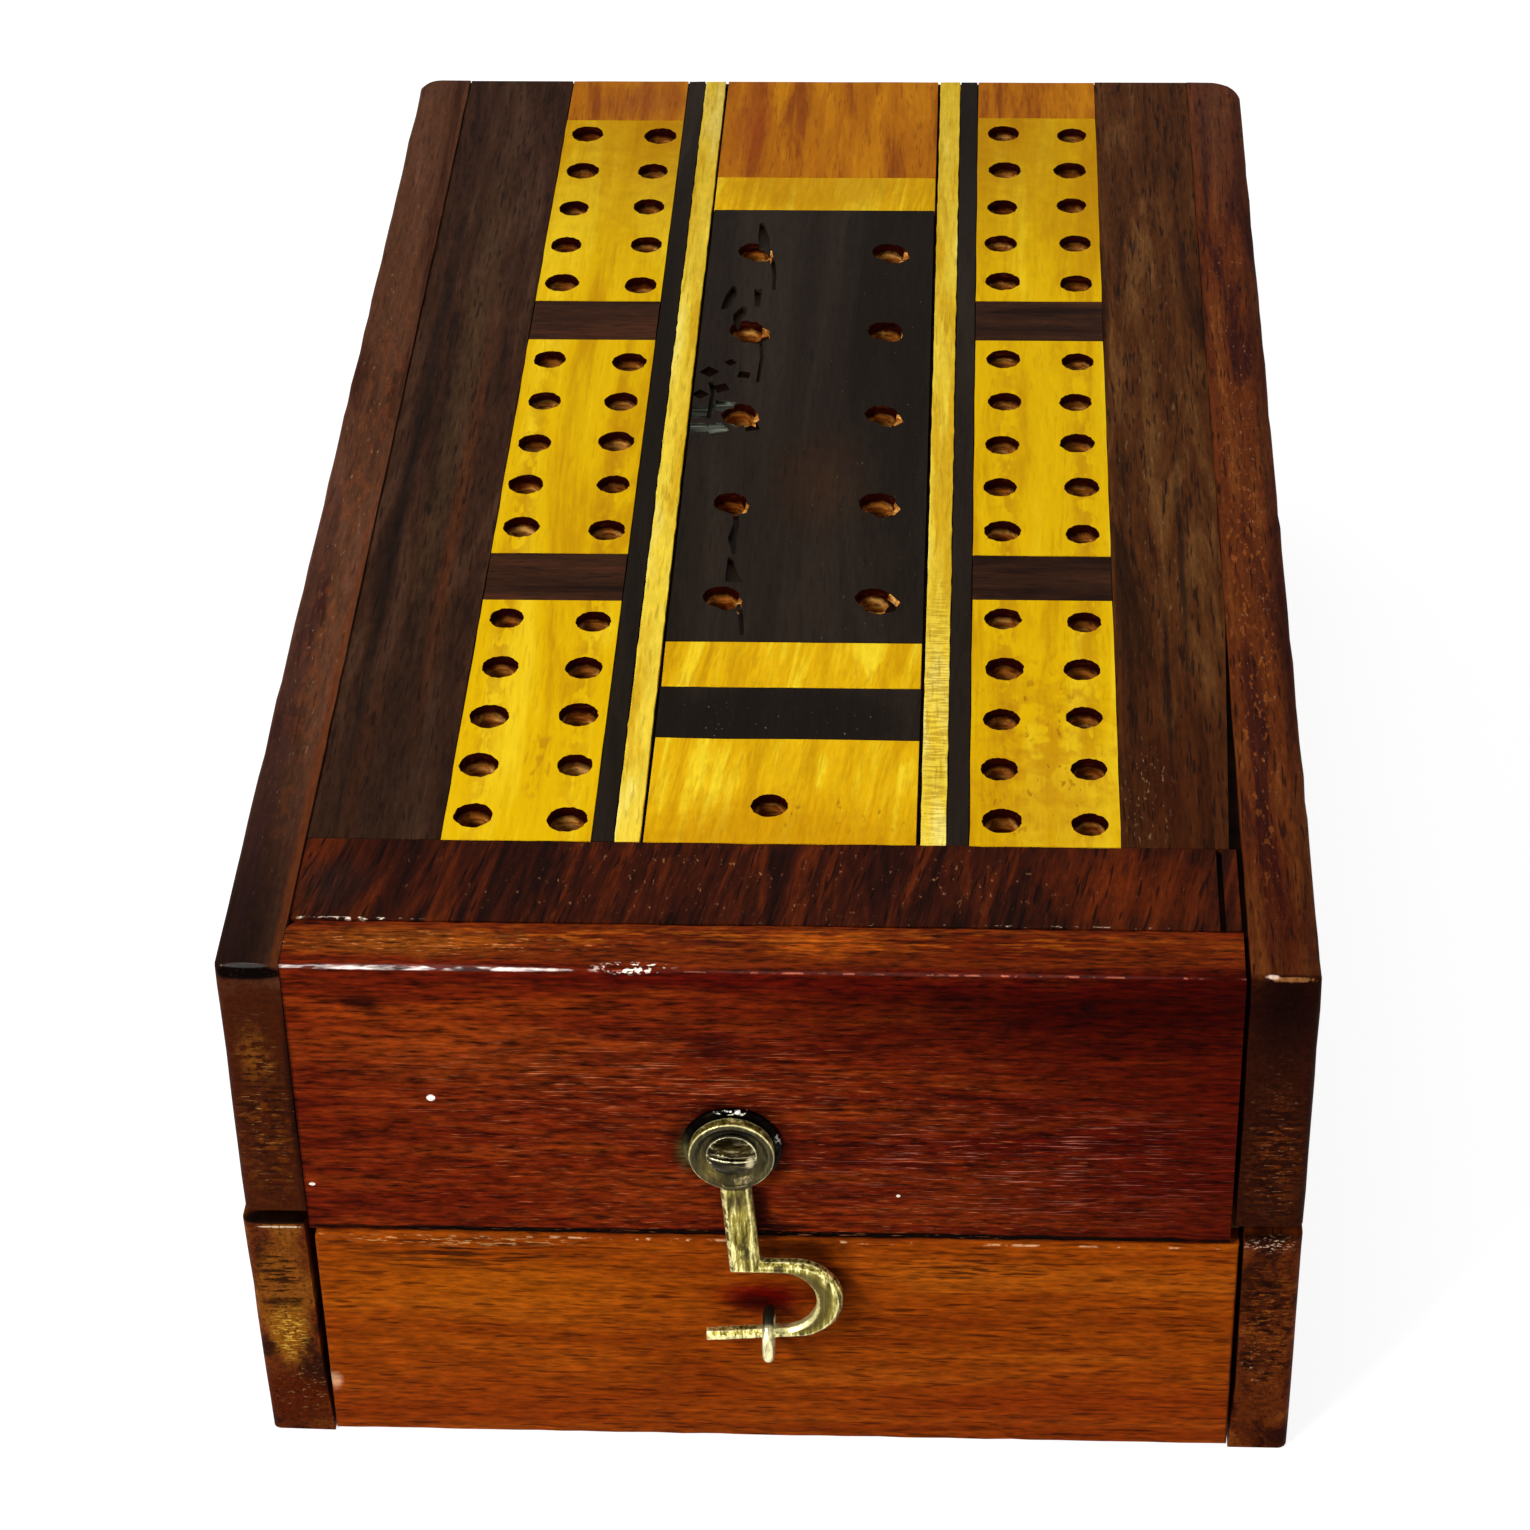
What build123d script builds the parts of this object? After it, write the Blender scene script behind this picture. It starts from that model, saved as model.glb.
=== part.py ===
from build123d import *
import math
import os

# A cribbage box for cards and pegs. The hollow upper part carries the inlaid peg board. A drawer fills
# the lower part and comes out of the narrow front end, where a hook and a screw eye keep it shut.
# X runs across the box, Y from the front end to the back, Z up, in millimetres. The origin is the
# middle of the underside of the case.

# ---- Case: driving dimensions ----
case_width = 100.0  # over the side boards
case_length = 170.6  # front face to back face
case_height = 59.7  # underside to the tops of the side boards
left_side_thickness = 6.0
right_side_thickness = 6.4
front_thickness = 6.6  # upper front board and drawer front
back_thickness = 6.0
bottom_thickness = 4.0
drawer_opening_height = 28.1  # underside of the case to the underside of the dust board
dust_board_thickness = 1.4
front_drop = 0.8  # the upper front board hangs this far over the dust board's edge
lower_left_lean = 0.4  # the lower left board leans out by this much at its top
lower_right_gap = 0.9  # opening beside the drawer front on the right
front_shrinkage = 0.4  # the upper front board has shrunk away from the right side board
dust_board_recess = 0.4  # the dust board's long edges lie back from the outer faces
glue_gap = 0.5  # dark glue line behind the front board

# Worn corners of the case
left_back_corner_radius = 2.5
right_back_corner_radius = 4.0
front_corner_radius = 0.9
left_foot_radius = 1.0
right_foot_radius = 2.2
top_edge_radius = 0.5
front_edge_radius = 0.6

# ---- Peg board ----
ground_thickness = 9.7
veneer_thickness = 0.8
side_rise = 0.3  # the side boards stand this far above the veneer
left_border_width = 12.65
right_border_width = 11.15
yellow_string_width = 2.5
black_string_width = 2.1
hole_panel_width = 14.2
crossband_length = 12.1  # along Y, behind the glue line
crossband_filler_width = 1.5
crossband_slit = 0.45  # dark slit each side of the filler
border_wedge_gap = 1.2  # gap beside the right border at its front end
border_wedge_length = 38.0  # the gap runs out to nothing over this length
shrinkage_crack = 0.2  # between the centre column and the yellow stringing
panel_shares = {"left": (0.318, 0.340, 0.342), "right": (0.321, 0.337, 0.342)}  # front, middle, rear
spacer_lengths = {"left": (8.5, 8.4), "right": (8.0, 8.5)}
end_block_lengths = {"left": 10.1, "right": 9.2}
game_hole_block_length = 16.4
black_band_length = 8.5
front_band_length = 7.7
rear_band_length = 7.8
centre_end_block_length = 24.0

# ---- Peg holes ----
peg_hole_radius = 1.7
peg_hole_depth = 8.5  # from the top of the veneer
peg_hole_flats = 12
rows_per_panel = 5
peg_end_margins = {"left": (3.5, 4.5, 3.7), "right": (3.6, 4.2, 4.1)}  # panel end to first hole
peg_column_spacings = {"left": 8.8, "right": 8.1}
drilling_wander = 0.25  # hand-drilled holes stray by about this much
drilling_turn = 2.4  # how far the stray turns from one hole to the next, in radians
drilling_phase = 1.6  # stray along Y against stray along X
tally_rows = 5
tally_side_margin = 5.2  # from each side of the ebony panel to its holes
tally_first_margin = 7.8  # from the front of the ebony panel to its first holes
tally_last_margin = 9.6
game_hole_inset = 5.8  # from the front of its block
game_hole_offset = -1.2  # to the left of the column's middle

# ---- Drawer ----
drawer_side_gap = 0.4  # beside the drawer, left and right
drawer_floor_gap = 0.3  # under the drawer sides
drawer_top_gap = 1.0  # above the drawer sides
drawer_end_gap = 4.0  # behind the drawer
seam_gap = 0.3  # between the drawer front and the upper front
drawer_stop_gap = 0.4  # behind the fronts, to the dust board and the case bottom
drawer_side_thickness = 4.5
drawer_back_thickness = 4.0
drawer_bottom_thickness = 2.2
drawer_groove_depth = 1.5
drawer_groove_height = 1.2  # from the lower edge of a drawer side up to its groove
drawer_front_lap = 2.6  # wood left in front of the drawer sides' ends
drawer_front_edge_radius = 0.3
drawer_front_corner_radius = 1.0

# ---- Front brads ----
brad_width = 1.3
brad_length = 16.0
brad_depth = 4.2  # below the top of the front board
brad_places = (-36.5, 29.3)

# ---- Hook, collar and screw ----
hook_x = -3.4
hook_height = 38.8  # the hook's screw, above the underside
collar_radius = 4.7
collar_thickness = 0.6
hook_head_radius = 4.0
hook_thickness = 1.15
hook_play = 0.05  # collar to hook, and hook to screw head
hook_lean = 3.4  # degrees that the arm stands out from the front
dish_radius = 3.5
dish_floor_radius = 2.9
dish_depth = 0.6
arm_top_width = 2.9
arm_drift = 1.0  # the arm's foot lies this far to the right of its top
curl_drop = 12.9  # pivot down to the top of the curl
curl_outer_radius = 4.6
curl_inner_radius = 3.4
curl_reach = 10.2  # pivot to the outermost point of the curl, along X
curl_top_bar = 1.35
curl_outer_bar = 2.5
tip_reach = 2.9  # the tip ends this far to the left of the pivot
tip_bar = 1.15
tip_sag = 0.6
hook_edge_bevel = 0.42
screw_radius = 1.1
screw_length = 5.5  # in the front board
screw_point_length = 1.6
screw_point_radius = 0.3
screw_head_radius = 2.4
screw_rim_height = 0.3
screw_dome_height = 0.6
screw_slot_width = 0.45
screw_slot_depth = 0.5
screw_slot_tilt = -4.0
running_clearance = 0.05

# ---- Screw eye ----
eye_x = -0.3
eye_height = 17.3
eye_wire_radius = 0.55
eye_wire_flats = 12
eye_ring_radius = 2.25  # to the middle of the wire
eye_shank_length = 5.0
eye_shank_radius = 0.5
eye_stand_off = 0.05  # ring to drawer front
shank_clearance = 0.02

# ---- Levels and lines worked out from them ----
front_y = -case_length / 2
back_y = case_length / 2
left_x = -case_width / 2
right_x = case_width / 2
left_inner_x = left_x + left_side_thickness
right_inner_x = right_x - right_side_thickness
dust_board_top = drawer_opening_height + dust_board_thickness
front_seam = drawer_opening_height - front_drop
veneer_top = case_height - side_rise
ground_top = veneer_top - veneer_thickness
ground_bottom = ground_top - ground_thickness
board_front_y = front_y + front_thickness + glue_gap
inlay_front_y = board_front_y + crossband_length
inlay_length = back_y - inlay_front_y
panels_left_x = left_inner_x + left_border_width
panels_right_x = right_inner_x - right_border_width
inlay_middle_x = (panels_left_x + panels_right_x) / 2
strings_width = black_string_width + yellow_string_width + shrinkage_crack
centre_left_x = panels_left_x + hole_panel_width + strings_width
centre_right_x = 2 * inlay_middle_x - centre_left_x
drawer_left_x = left_inner_x + drawer_side_gap
drawer_right_x = right_inner_x + lower_right_gap - drawer_side_gap
drawer_floor = bottom_thickness + drawer_floor_gap
drawer_side_top = drawer_opening_height - drawer_top_gap
drawer_back_y = back_y - back_thickness - drawer_end_gap
drawer_bottom_level = drawer_floor + drawer_groove_height
drawer_bottom_top = drawer_bottom_level + drawer_bottom_thickness
place_tolerance = 0.01  # for finding an edge by its place

parts = {}


def board(left, right, front, back, bottom, top):
    """A squared board between six faces."""
    middle = Pos((left + right) / 2, (front + back) / 2, (bottom + top) / 2)
    return middle * Box(right - left, back - front, top - bottom)


def along_y(outline, front, back):
    """A face drawn in X and Z, drawn out along Y from front to back."""
    return extrude(Plane.XZ.offset(-front) * outline, front - back)


def pin_along_y(x, z, radius, front, back):
    """A round pin along Y."""
    return Pos(x, (front + back) / 2, z) * Rot(90, 0, 0) * Cylinder(radius, back - front)


def edges_at(solid, x=None, y=None, z=None):
    """The solid's edges whose middles lie at the given places."""
    found = []
    for edge in solid.edges():
        middle = edge.center()
        places = ((x, middle.X), (y, middle.Y), (z, middle.Z))
        if all(wanted is None or abs(wanted - place) < place_tolerance for wanted, place in places):
            found.append(edge)
    return found


# ---- Case boards ----
def upper_side(outer, inner, back_radius):
    """An upper side board: rounded at its outer corners and along its top."""
    solid = board(min(outer, inner), max(outer, inner), front_y, back_y, dust_board_top, case_height)
    solid = fillet(edges_at(solid, x=outer, y=back_y), back_radius)
    solid = fillet(edges_at(solid, x=outer, y=front_y), front_corner_radius)
    worn = [edge for edge in solid.edges() if edge.center().Z > case_height - place_tolerance]
    worn = [edge for edge in worn if abs(edge.center().X - inner) > place_tolerance]
    return fillet(worn, top_edge_radius)


def lower_side(outer, inner, top_outer, top_inner, back_radius, foot_radius):
    """A lower side board, whose top may lean out."""
    outline = make_face(Polyline(
        (inner, 0), (outer, 0), (top_outer, drawer_opening_height), (top_inner, drawer_opening_height),
        close=True,
    ))
    solid = along_y(outline, front_y, back_y)
    middle_x = (outer + top_outer) / 2
    solid = fillet(edges_at(solid, x=middle_x, y=back_y), back_radius)
    solid = fillet(edges_at(solid, x=middle_x, y=front_y), front_corner_radius)
    foot = [edge for edge in solid.edges() if edge.center().Z < place_tolerance]
    foot = [edge for edge in foot if abs(edge.center().X - outer) < place_tolerance]
    return fillet(foot, foot_radius)


parts["upper_side_left"] = upper_side(left_x, left_inner_x, left_back_corner_radius)
parts["upper_side_right"] = upper_side(right_x, right_inner_x, right_back_corner_radius)
parts["lower_side_left"] = lower_side(
    left_x, left_inner_x, left_x - lower_left_lean, left_inner_x - lower_left_lean,
    left_back_corner_radius, left_foot_radius,
)
lower_right_inner_x = right_inner_x + lower_right_gap
parts["lower_side_right"] = lower_side(
    right_x, lower_right_inner_x, right_x, lower_right_inner_x,
    right_back_corner_radius, right_foot_radius,
)
dust_board = board(
    left_x + dust_board_recess, right_x - dust_board_recess,
    front_y + front_thickness + drawer_stop_gap, back_y - dust_board_recess,
    drawer_opening_height, dust_board_top,
)
for x, radius in ((left_x + dust_board_recess, left_back_corner_radius),
                  (right_x - dust_board_recess, right_back_corner_radius)):
    dust_board = fillet(edges_at(dust_board, x=x, y=back_y - dust_board_recess), radius)
parts["dust_board"] = dust_board
parts["case_bottom"] = board(
    left_inner_x, lower_right_inner_x,
    front_y + front_thickness + drawer_stop_gap, back_y - back_thickness,
    0, bottom_thickness,
)
parts["lower_back"] = board(
    left_inner_x, lower_right_inner_x, back_y - back_thickness, back_y, 0, drawer_opening_height,
)
parts["upper_back"] = board(
    left_inner_x, right_inner_x, back_y - back_thickness, back_y, dust_board_top, ground_bottom,
)


# ---- Upper front board, its brads, and the latch's fixed parts ----
def brad(x):
    """One square cut brad through the front board into the edge of the ground panel."""
    level = case_height - brad_depth
    return board(
        x - brad_width / 2, x + brad_width / 2, front_y, front_y + brad_length,
        level - brad_width / 2, level + brad_width / 2,
    )


def make_screw():
    """A round-headed slotted screw that the hook turns on."""
    head_base = front_y - collar_thickness - hook_thickness - 2 * hook_play + dish_depth
    point_y = front_y + screw_length
    taper_y = point_y - screw_point_length
    crown = screw_rim_height + screw_dome_height
    sphere_radius = (screw_head_radius**2 + screw_dome_height**2) / (2 * screw_dome_height)
    profile = make_face(
        Line((0, 0), (screw_head_radius, 0))
        + Line((screw_head_radius, 0), (screw_head_radius, screw_rim_height))
        + RadiusArc((screw_head_radius, screw_rim_height), (0, crown), -sphere_radius)
        + Line((0, crown), (0, 0))
    )
    head = revolve(Plane.XZ * profile, Axis.Z)
    slot = Rot(0, 0, screw_slot_tilt) * Box(3 * screw_head_radius, screw_slot_width, 2 * screw_slot_depth)
    head -= Pos(0, 0, crown) * slot
    head = Pos(hook_x, head_base, hook_height) * Rot(90, 0, 0) * head
    shank = pin_along_y(hook_x, hook_height, screw_radius, head_base, taper_y)
    point = Cone(screw_radius, screw_point_radius, screw_point_length)
    point = Pos(hook_x, (taper_y + point_y) / 2, hook_height) * Rot(-90, 0, 0) * point
    return head + shank + point


screw = make_screw()
parts["hook_screw"] = screw
parts["front_brads"] = Compound(children=[brad(x) for x in brad_places])

collar = pin_along_y(hook_x, hook_height, collar_radius, front_y - collar_thickness, front_y)
collar = chamfer(edges_at(collar, y=front_y - collar_thickness), collar_thickness / 2)
screw_hole = pin_along_y(
    hook_x, hook_height, screw_radius + shank_clearance,
    front_y - collar_thickness, front_y + screw_length,
)
parts["hook_collar"] = collar - screw_hole

upper_front = board(
    left_inner_x, right_inner_x - front_shrinkage, front_y, front_y + front_thickness,
    front_seam, case_height,
)
upper_front = fillet(edges_at(upper_front, y=front_y, z=case_height), front_edge_radius)
for x in brad_places:
    upper_front -= brad(x)
parts["upper_front"] = upper_front - screw_hole


# ---- Peg holes ----
def stray(number, phase):
    """How far a hand-drilled hole strays, by its number."""
    return drilling_wander * math.sin(drilling_turn * number + phase)


def panel_holes(side, centre_x, front, length, margin):
    """The ten hole centres of one yellow panel."""
    pitch = (length - 2 * margin) / (rows_per_panel - 1)
    places = []
    for row in range(rows_per_panel):
        for column in (-1, 1):
            number = 2 * row + (column + 1) / 2
            x = centre_x + column * peg_column_spacings[side] / 2 + stray(number, 0)
            y = front + margin + row * pitch + stray(number, drilling_phase)
            places.append((x, y))
    return places


def drill(solid, places):
    """The solid with a peg hole at each place. Flats round a peg keep so many small holes light."""
    section = RegularPolygon(peg_hole_radius, peg_hole_flats, major_radius=False)
    bore = extrude(Pos(0, 0, veneer_top - peg_hole_depth) * section, peg_hole_depth)
    for x, y in places:
        solid -= Pos(x, y, 0) * bore
    return solid


def drill_game_hole(solid, place):
    """The solid with the game hole, the one that is drilled truly round."""
    x, y = place
    return solid - Pos(x, y, veneer_top - peg_hole_depth / 2) * Cylinder(peg_hole_radius, peg_hole_depth)


def veneer(left, right, front, back):
    """A piece of inlay on the ground panel."""
    return board(left, right, front, back, ground_top, veneer_top)


# ---- Columns of the inlay, from the middle outwards ----
all_holes = []

for name, side, centre_edge in (("left", -1, centre_left_x), ("right", 1, centre_right_x)):
    string_inner = centre_edge + side * shrinkage_crack
    string_outer = string_inner + side * yellow_string_width
    stripe_outer = string_outer + side * black_string_width
    panel_outer = stripe_outer + side * hole_panel_width
    parts["stringing_" + name] = veneer(
        min(string_inner, string_outer), max(string_inner, string_outer), inlay_front_y, back_y)
    parts["stripe_" + name] = veneer(
        min(string_outer, stripe_outer), max(string_outer, stripe_outer), inlay_front_y, back_y)

    # Hole panels with dark spacers between them, and an orange block at the far end
    left, right = sorted((stripe_outer, panel_outer))
    start = inlay_front_y
    all_panels = inlay_length - end_block_lengths[name] - sum(spacer_lengths[name])
    for index, place in enumerate(("front", "middle", "rear")):
        length = all_panels * panel_shares[name][index]
        margin = peg_end_margins[name][index]
        holes = panel_holes(name, (left + right) / 2, start, length, margin)
        all_holes += holes
        parts[f"panel_{name}_{place}"] = drill(veneer(left, right, start, start + length), holes)
        start += length
        if place != "rear":
            spacer = spacer_lengths[name][index]
            parts[f"spacer_{name}_{place}"] = veneer(left, right, start, start + spacer)
            start += spacer
    parts["end_block_" + name] = veneer(left, right, start, back_y)

# ---- Centre column, from the front to the back ----
block_back_y = inlay_front_y + game_hole_block_length
game_hole = (inlay_middle_x + game_hole_offset, inlay_front_y + game_hole_inset)
parts["game_hole_block"] = drill_game_hole(
    veneer(centre_left_x, centre_right_x, inlay_front_y, block_back_y), game_hole)
start = block_back_y
for name, length in (("centre_band_black", black_band_length), ("centre_band_front", front_band_length)):
    parts[name] = veneer(centre_left_x, centre_right_x, start, start + length)
    start += length
rear_block_y = back_y - centre_end_block_length
rear_band_y = rear_block_y - rear_band_length
tally_pitch = (rear_band_y - start - tally_first_margin - tally_last_margin) / (tally_rows - 1)
tally_holes = [
    (x, start + tally_first_margin + row * tally_pitch)
    for row in range(tally_rows)
    for x in (centre_left_x + tally_side_margin, centre_right_x - tally_side_margin)
]
parts["tally_panel"] = drill(veneer(centre_left_x, centre_right_x, start, rear_band_y), tally_holes)
parts["centre_band_rear"] = veneer(centre_left_x, centre_right_x, rear_band_y, rear_block_y)
parts["end_block_centre"] = veneer(centre_left_x, centre_right_x, rear_block_y, back_y)
all_holes += tally_holes

# ---- Rosewood borders and the crossband ----
parts["border_left"] = veneer(left_inner_x, panels_left_x, inlay_front_y, back_y)
wedge_end_y = inlay_front_y + border_wedge_length
border_outline = make_face(Polyline(
    (panels_right_x, inlay_front_y), (right_inner_x - border_wedge_gap, inlay_front_y),
    (right_inner_x, wedge_end_y), (right_inner_x, back_y), (panels_right_x, back_y),
    close=True,
))
parts["border_right"] = extrude(Pos(0, 0, ground_top) * border_outline, veneer_thickness)
filler_right_x = right_inner_x - crossband_slit
filler_left_x = filler_right_x - crossband_filler_width
parts["crossband_filler"] = veneer(filler_left_x, filler_right_x, board_front_y, inlay_front_y)
parts["front_crossband"] = veneer(
    left_inner_x, filler_left_x - crossband_slit, board_front_y, inlay_front_y)

# ---- Ground panel under the inlay ----
ground = board(left_inner_x, right_inner_x, board_front_y, back_y, ground_bottom, ground_top)
for x in brad_places:
    ground -= brad(x)
parts["ground_panel"] = drill_game_hole(drill(ground, all_holes), game_hole)


# ---- Drawer ----
def drawer_side(outer, inner):
    """A drawer side, lapped into the drawer front and grooved for the bottom."""
    solid = board(
        min(outer, inner), max(outer, inner), front_y + drawer_front_lap, drawer_back_y,
        drawer_floor, drawer_side_top,
    )
    towards_inside = math.copysign(drawer_groove_depth, inner - outer)
    groove_floor = inner - towards_inside
    groove = board(
        min(groove_floor, inner), max(groove_floor, inner), front_y + drawer_front_lap, drawer_back_y,
        drawer_bottom_level, drawer_bottom_top,
    )
    return solid - groove


drawer_left_inner_x = drawer_left_x + drawer_side_thickness
drawer_right_inner_x = drawer_right_x - drawer_side_thickness
parts["drawer_side_left"] = drawer_side(drawer_left_x, drawer_left_inner_x)
parts["drawer_side_right"] = drawer_side(drawer_right_x, drawer_right_inner_x)
parts["drawer_back"] = board(
    drawer_left_inner_x, drawer_right_inner_x, drawer_back_y - drawer_back_thickness, drawer_back_y,
    drawer_bottom_top, drawer_side_top,
)
parts["drawer_bottom"] = board(
    drawer_left_inner_x - drawer_groove_depth, drawer_right_inner_x + drawer_groove_depth,
    front_y + front_thickness - drawer_groove_depth, drawer_back_y,
    drawer_bottom_level, drawer_bottom_top,
)

# ---- Screw eye ----
eye_y = front_y - eye_stand_off - eye_ring_radius - eye_wire_radius
wire = Plane.XZ * Pos(eye_ring_radius, 0, 0) * RegularPolygon(eye_wire_radius, eye_wire_flats)
ring = Pos(eye_x, eye_y, eye_height) * Rot(0, 90, 0) * revolve(wire, Axis.Z)
shank_front_y = eye_y + eye_ring_radius
shank_back_y = front_y + eye_shank_length
shank = pin_along_y(eye_x, eye_height, eye_shank_radius, shank_front_y, shank_back_y)
parts["screw_eye"] = ring + shank

# ---- Drawer front: lapped over the sides, grooved for the bottom, bored for the screw eye ----
drawer_front = board(
    drawer_left_x, drawer_right_x, front_y, front_y + front_thickness,
    drawer_floor - bottom_thickness, front_seam - seam_gap,
)
drawer_front = fillet(edges_at(drawer_front, x=drawer_left_x, z=front_seam - seam_gap),
                      drawer_front_corner_radius)
front_edges = [edge for edge in drawer_front.edges() if abs(edge.center().Y - front_y) < 0.01]
drawer_front = fillet(front_edges, drawer_front_edge_radius)
drawer_front -= board(
    drawer_left_x, drawer_left_inner_x, front_y + drawer_front_lap, front_y + front_thickness,
    drawer_floor, drawer_side_top,
)
drawer_front -= board(
    drawer_right_inner_x, drawer_right_x, front_y + drawer_front_lap, front_y + front_thickness,
    drawer_floor, drawer_side_top,
)
drawer_front -= board(
    drawer_left_inner_x - drawer_groove_depth, drawer_right_inner_x + drawer_groove_depth,
    front_y + front_thickness - drawer_groove_depth, front_y + front_thickness,
    drawer_bottom_level, drawer_bottom_top,
)
drawer_front -= pin_along_y(eye_x, eye_height, eye_shank_radius + shank_clearance, front_y, shank_back_y)
parts["drawer_front"] = drawer_front


# ---- Hook ----
def hook_arm():
    """The arm, its curl and its tip, flat, seen from the front with the pivot at the origin."""
    top_half = arm_top_width / 2
    arm_left = -top_half + arm_drift
    arm_right = top_half + arm_drift
    curl_top = -curl_drop
    outer_centre = (curl_reach - curl_outer_radius, curl_top - curl_outer_radius)
    inner_centre = (curl_reach - curl_outer_bar - curl_inner_radius,
                    curl_top - curl_top_bar - curl_inner_radius)
    tip_top = inner_centre[1] - curl_inner_radius - tip_sag
    tip_end = -tip_reach
    outline = (
        Line((-top_half, 0), (top_half, 0))
        + Line((top_half, 0), (arm_right, curl_top))
        + Line((arm_right, curl_top), (outer_centre[0], curl_top))
        + ThreePointArc(
            (outer_centre[0], curl_top),
            (curl_reach, outer_centre[1]),
            (outer_centre[0], outer_centre[1] - curl_outer_radius),
        )
        + Line((outer_centre[0], outer_centre[1] - curl_outer_radius), (tip_end, tip_top - tip_bar))
        + Line((tip_end, tip_top - tip_bar), (tip_end, tip_top))
        + Line((tip_end, tip_top), (inner_centre[0], inner_centre[1] - curl_inner_radius))
        + ThreePointArc(
            (inner_centre[0], inner_centre[1] - curl_inner_radius),
            (inner_centre[0] + curl_inner_radius, inner_centre[1]),
            (inner_centre[0], inner_centre[1] + curl_inner_radius),
        )
        + Line((inner_centre[0], inner_centre[1] + curl_inner_radius), (arm_left, curl_top - curl_top_bar))
        + Line((arm_left, curl_top - curl_top_bar), (-top_half, 0))
    )
    return make_face(outline)


def make_hook():
    """The brass hook: a dished round head, and a flat arm that leans out to reach through the eye."""
    arm = extrude(Plane.XZ * hook_arm(), hook_thickness)
    front_edges = [
        edge for edge in arm.edges()
        if edge.center().Y < place_tolerance - hook_thickness and edge.center().Z < -hook_head_radius / 2
    ]
    arm = chamfer(front_edges, hook_edge_bevel)
    arm = Rot(-hook_lean, 0, 0) * arm
    rim_y = -hook_thickness
    head = pin_along_y(0, 0, hook_head_radius, rim_y, 0)
    dish = Cone(dish_radius, dish_floor_radius, dish_depth)
    dish = Pos(0, rim_y + dish_depth / 2, 0) * Rot(-90, 0, 0) * dish
    dish += pin_along_y(0, 0, dish_radius, rim_y - hook_thickness, rim_y)
    behind = board(-case_width, case_width, 0, case_width, -case_height, case_height)
    bore = pin_along_y(0, 0, screw_radius + running_clearance, -case_width, case_width)
    hook = arm + head - dish - behind - bore
    return Pos(hook_x, front_y - collar_thickness - hook_play, hook_height) * hook


parts["latch_hook"] = make_hook()

os.makedirs("parts", exist_ok=True)
for name, solid in parts.items():
    export_step(solid, f"parts/{name}.step")
    print(name, len(solid.solids()), round(solid.volume, 2))
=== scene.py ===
import math
import random

import bmesh
import bpy
from mathutils import Matrix, Vector


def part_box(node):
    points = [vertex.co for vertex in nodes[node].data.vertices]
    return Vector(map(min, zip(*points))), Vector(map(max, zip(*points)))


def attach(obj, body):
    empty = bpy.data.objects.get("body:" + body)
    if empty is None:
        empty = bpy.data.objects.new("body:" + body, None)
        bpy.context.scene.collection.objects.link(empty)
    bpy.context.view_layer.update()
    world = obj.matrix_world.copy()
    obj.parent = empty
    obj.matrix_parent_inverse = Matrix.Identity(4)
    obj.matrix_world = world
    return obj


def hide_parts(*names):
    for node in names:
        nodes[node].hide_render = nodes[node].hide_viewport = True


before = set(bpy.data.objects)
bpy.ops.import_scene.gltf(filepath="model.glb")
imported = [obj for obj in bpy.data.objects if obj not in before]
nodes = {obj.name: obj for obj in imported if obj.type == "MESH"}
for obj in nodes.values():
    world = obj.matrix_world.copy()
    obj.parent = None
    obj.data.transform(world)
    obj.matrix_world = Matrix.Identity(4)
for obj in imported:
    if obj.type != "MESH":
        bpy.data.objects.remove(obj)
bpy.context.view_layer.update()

MM = 0.001

# ---- The studio ----
# A white table and wall under a large soft lamp at the upper left, with a weaker one at the right and
# one above, seen through a long lens from a little to the right and well above the box.
camera_place = Vector((0.0184, -0.3728, 0.2997))
camera_pitch = math.radians(36.95)
camera_yaw = math.radians(-3.55)
camera_roll = math.radians(1.49)
forward = Vector((
    math.sin(camera_yaw) * math.cos(camera_pitch),
    math.cos(camera_yaw) * math.cos(camera_pitch),
    -math.sin(camera_pitch),
))
level_right = forward.cross(Vector((0, 0, 1))).normalized()
level_down = forward.cross(level_right)
to_right = math.cos(camera_roll) * level_right + math.sin(camera_roll) * level_down
to_foot = -math.sin(camera_roll) * level_right + math.cos(camera_roll) * level_down
lens = bpy.data.cameras.new("camera")
lens.lens = 98.1
lens.sensor_width = 36
lens.clip_start = 0.01
camera = bpy.data.objects.new("camera", lens)
bpy.context.scene.collection.objects.link(camera)
axes = Matrix((to_right, -to_foot, -forward)).transposed().to_4x4()
camera.matrix_world = Matrix.Translation(camera_place) @ axes
bpy.context.scene.camera = camera
bpy.context.scene.view_settings.view_transform = "Standard"


def lamp(name, place, aim, size, watts):
    """A square soft lamp, turned towards a point."""
    light = bpy.data.lights.new(name, "AREA")
    light.shape = "SQUARE"
    light.size = size
    light.energy = watts
    holder = bpy.data.objects.new(name, light)
    bpy.context.scene.collection.objects.link(holder)
    turn = (Vector(aim) - Vector(place)).to_track_quat("-Z", "Y")
    holder.matrix_world = Matrix.Translation(place) @ turn.to_matrix().to_4x4()


lamp("key", (-0.40, -0.50, 0.48), (0, -0.06, 0.03), 0.22, 5.0)
lamp("fill", (0.75, -0.85, 0.35), (0, -0.05, 0.03), 0.6, 2.0)
lamp("top", (-0.1, 0.35, 1.1), (0, 0, 0.03), 0.5, 2.6)


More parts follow.
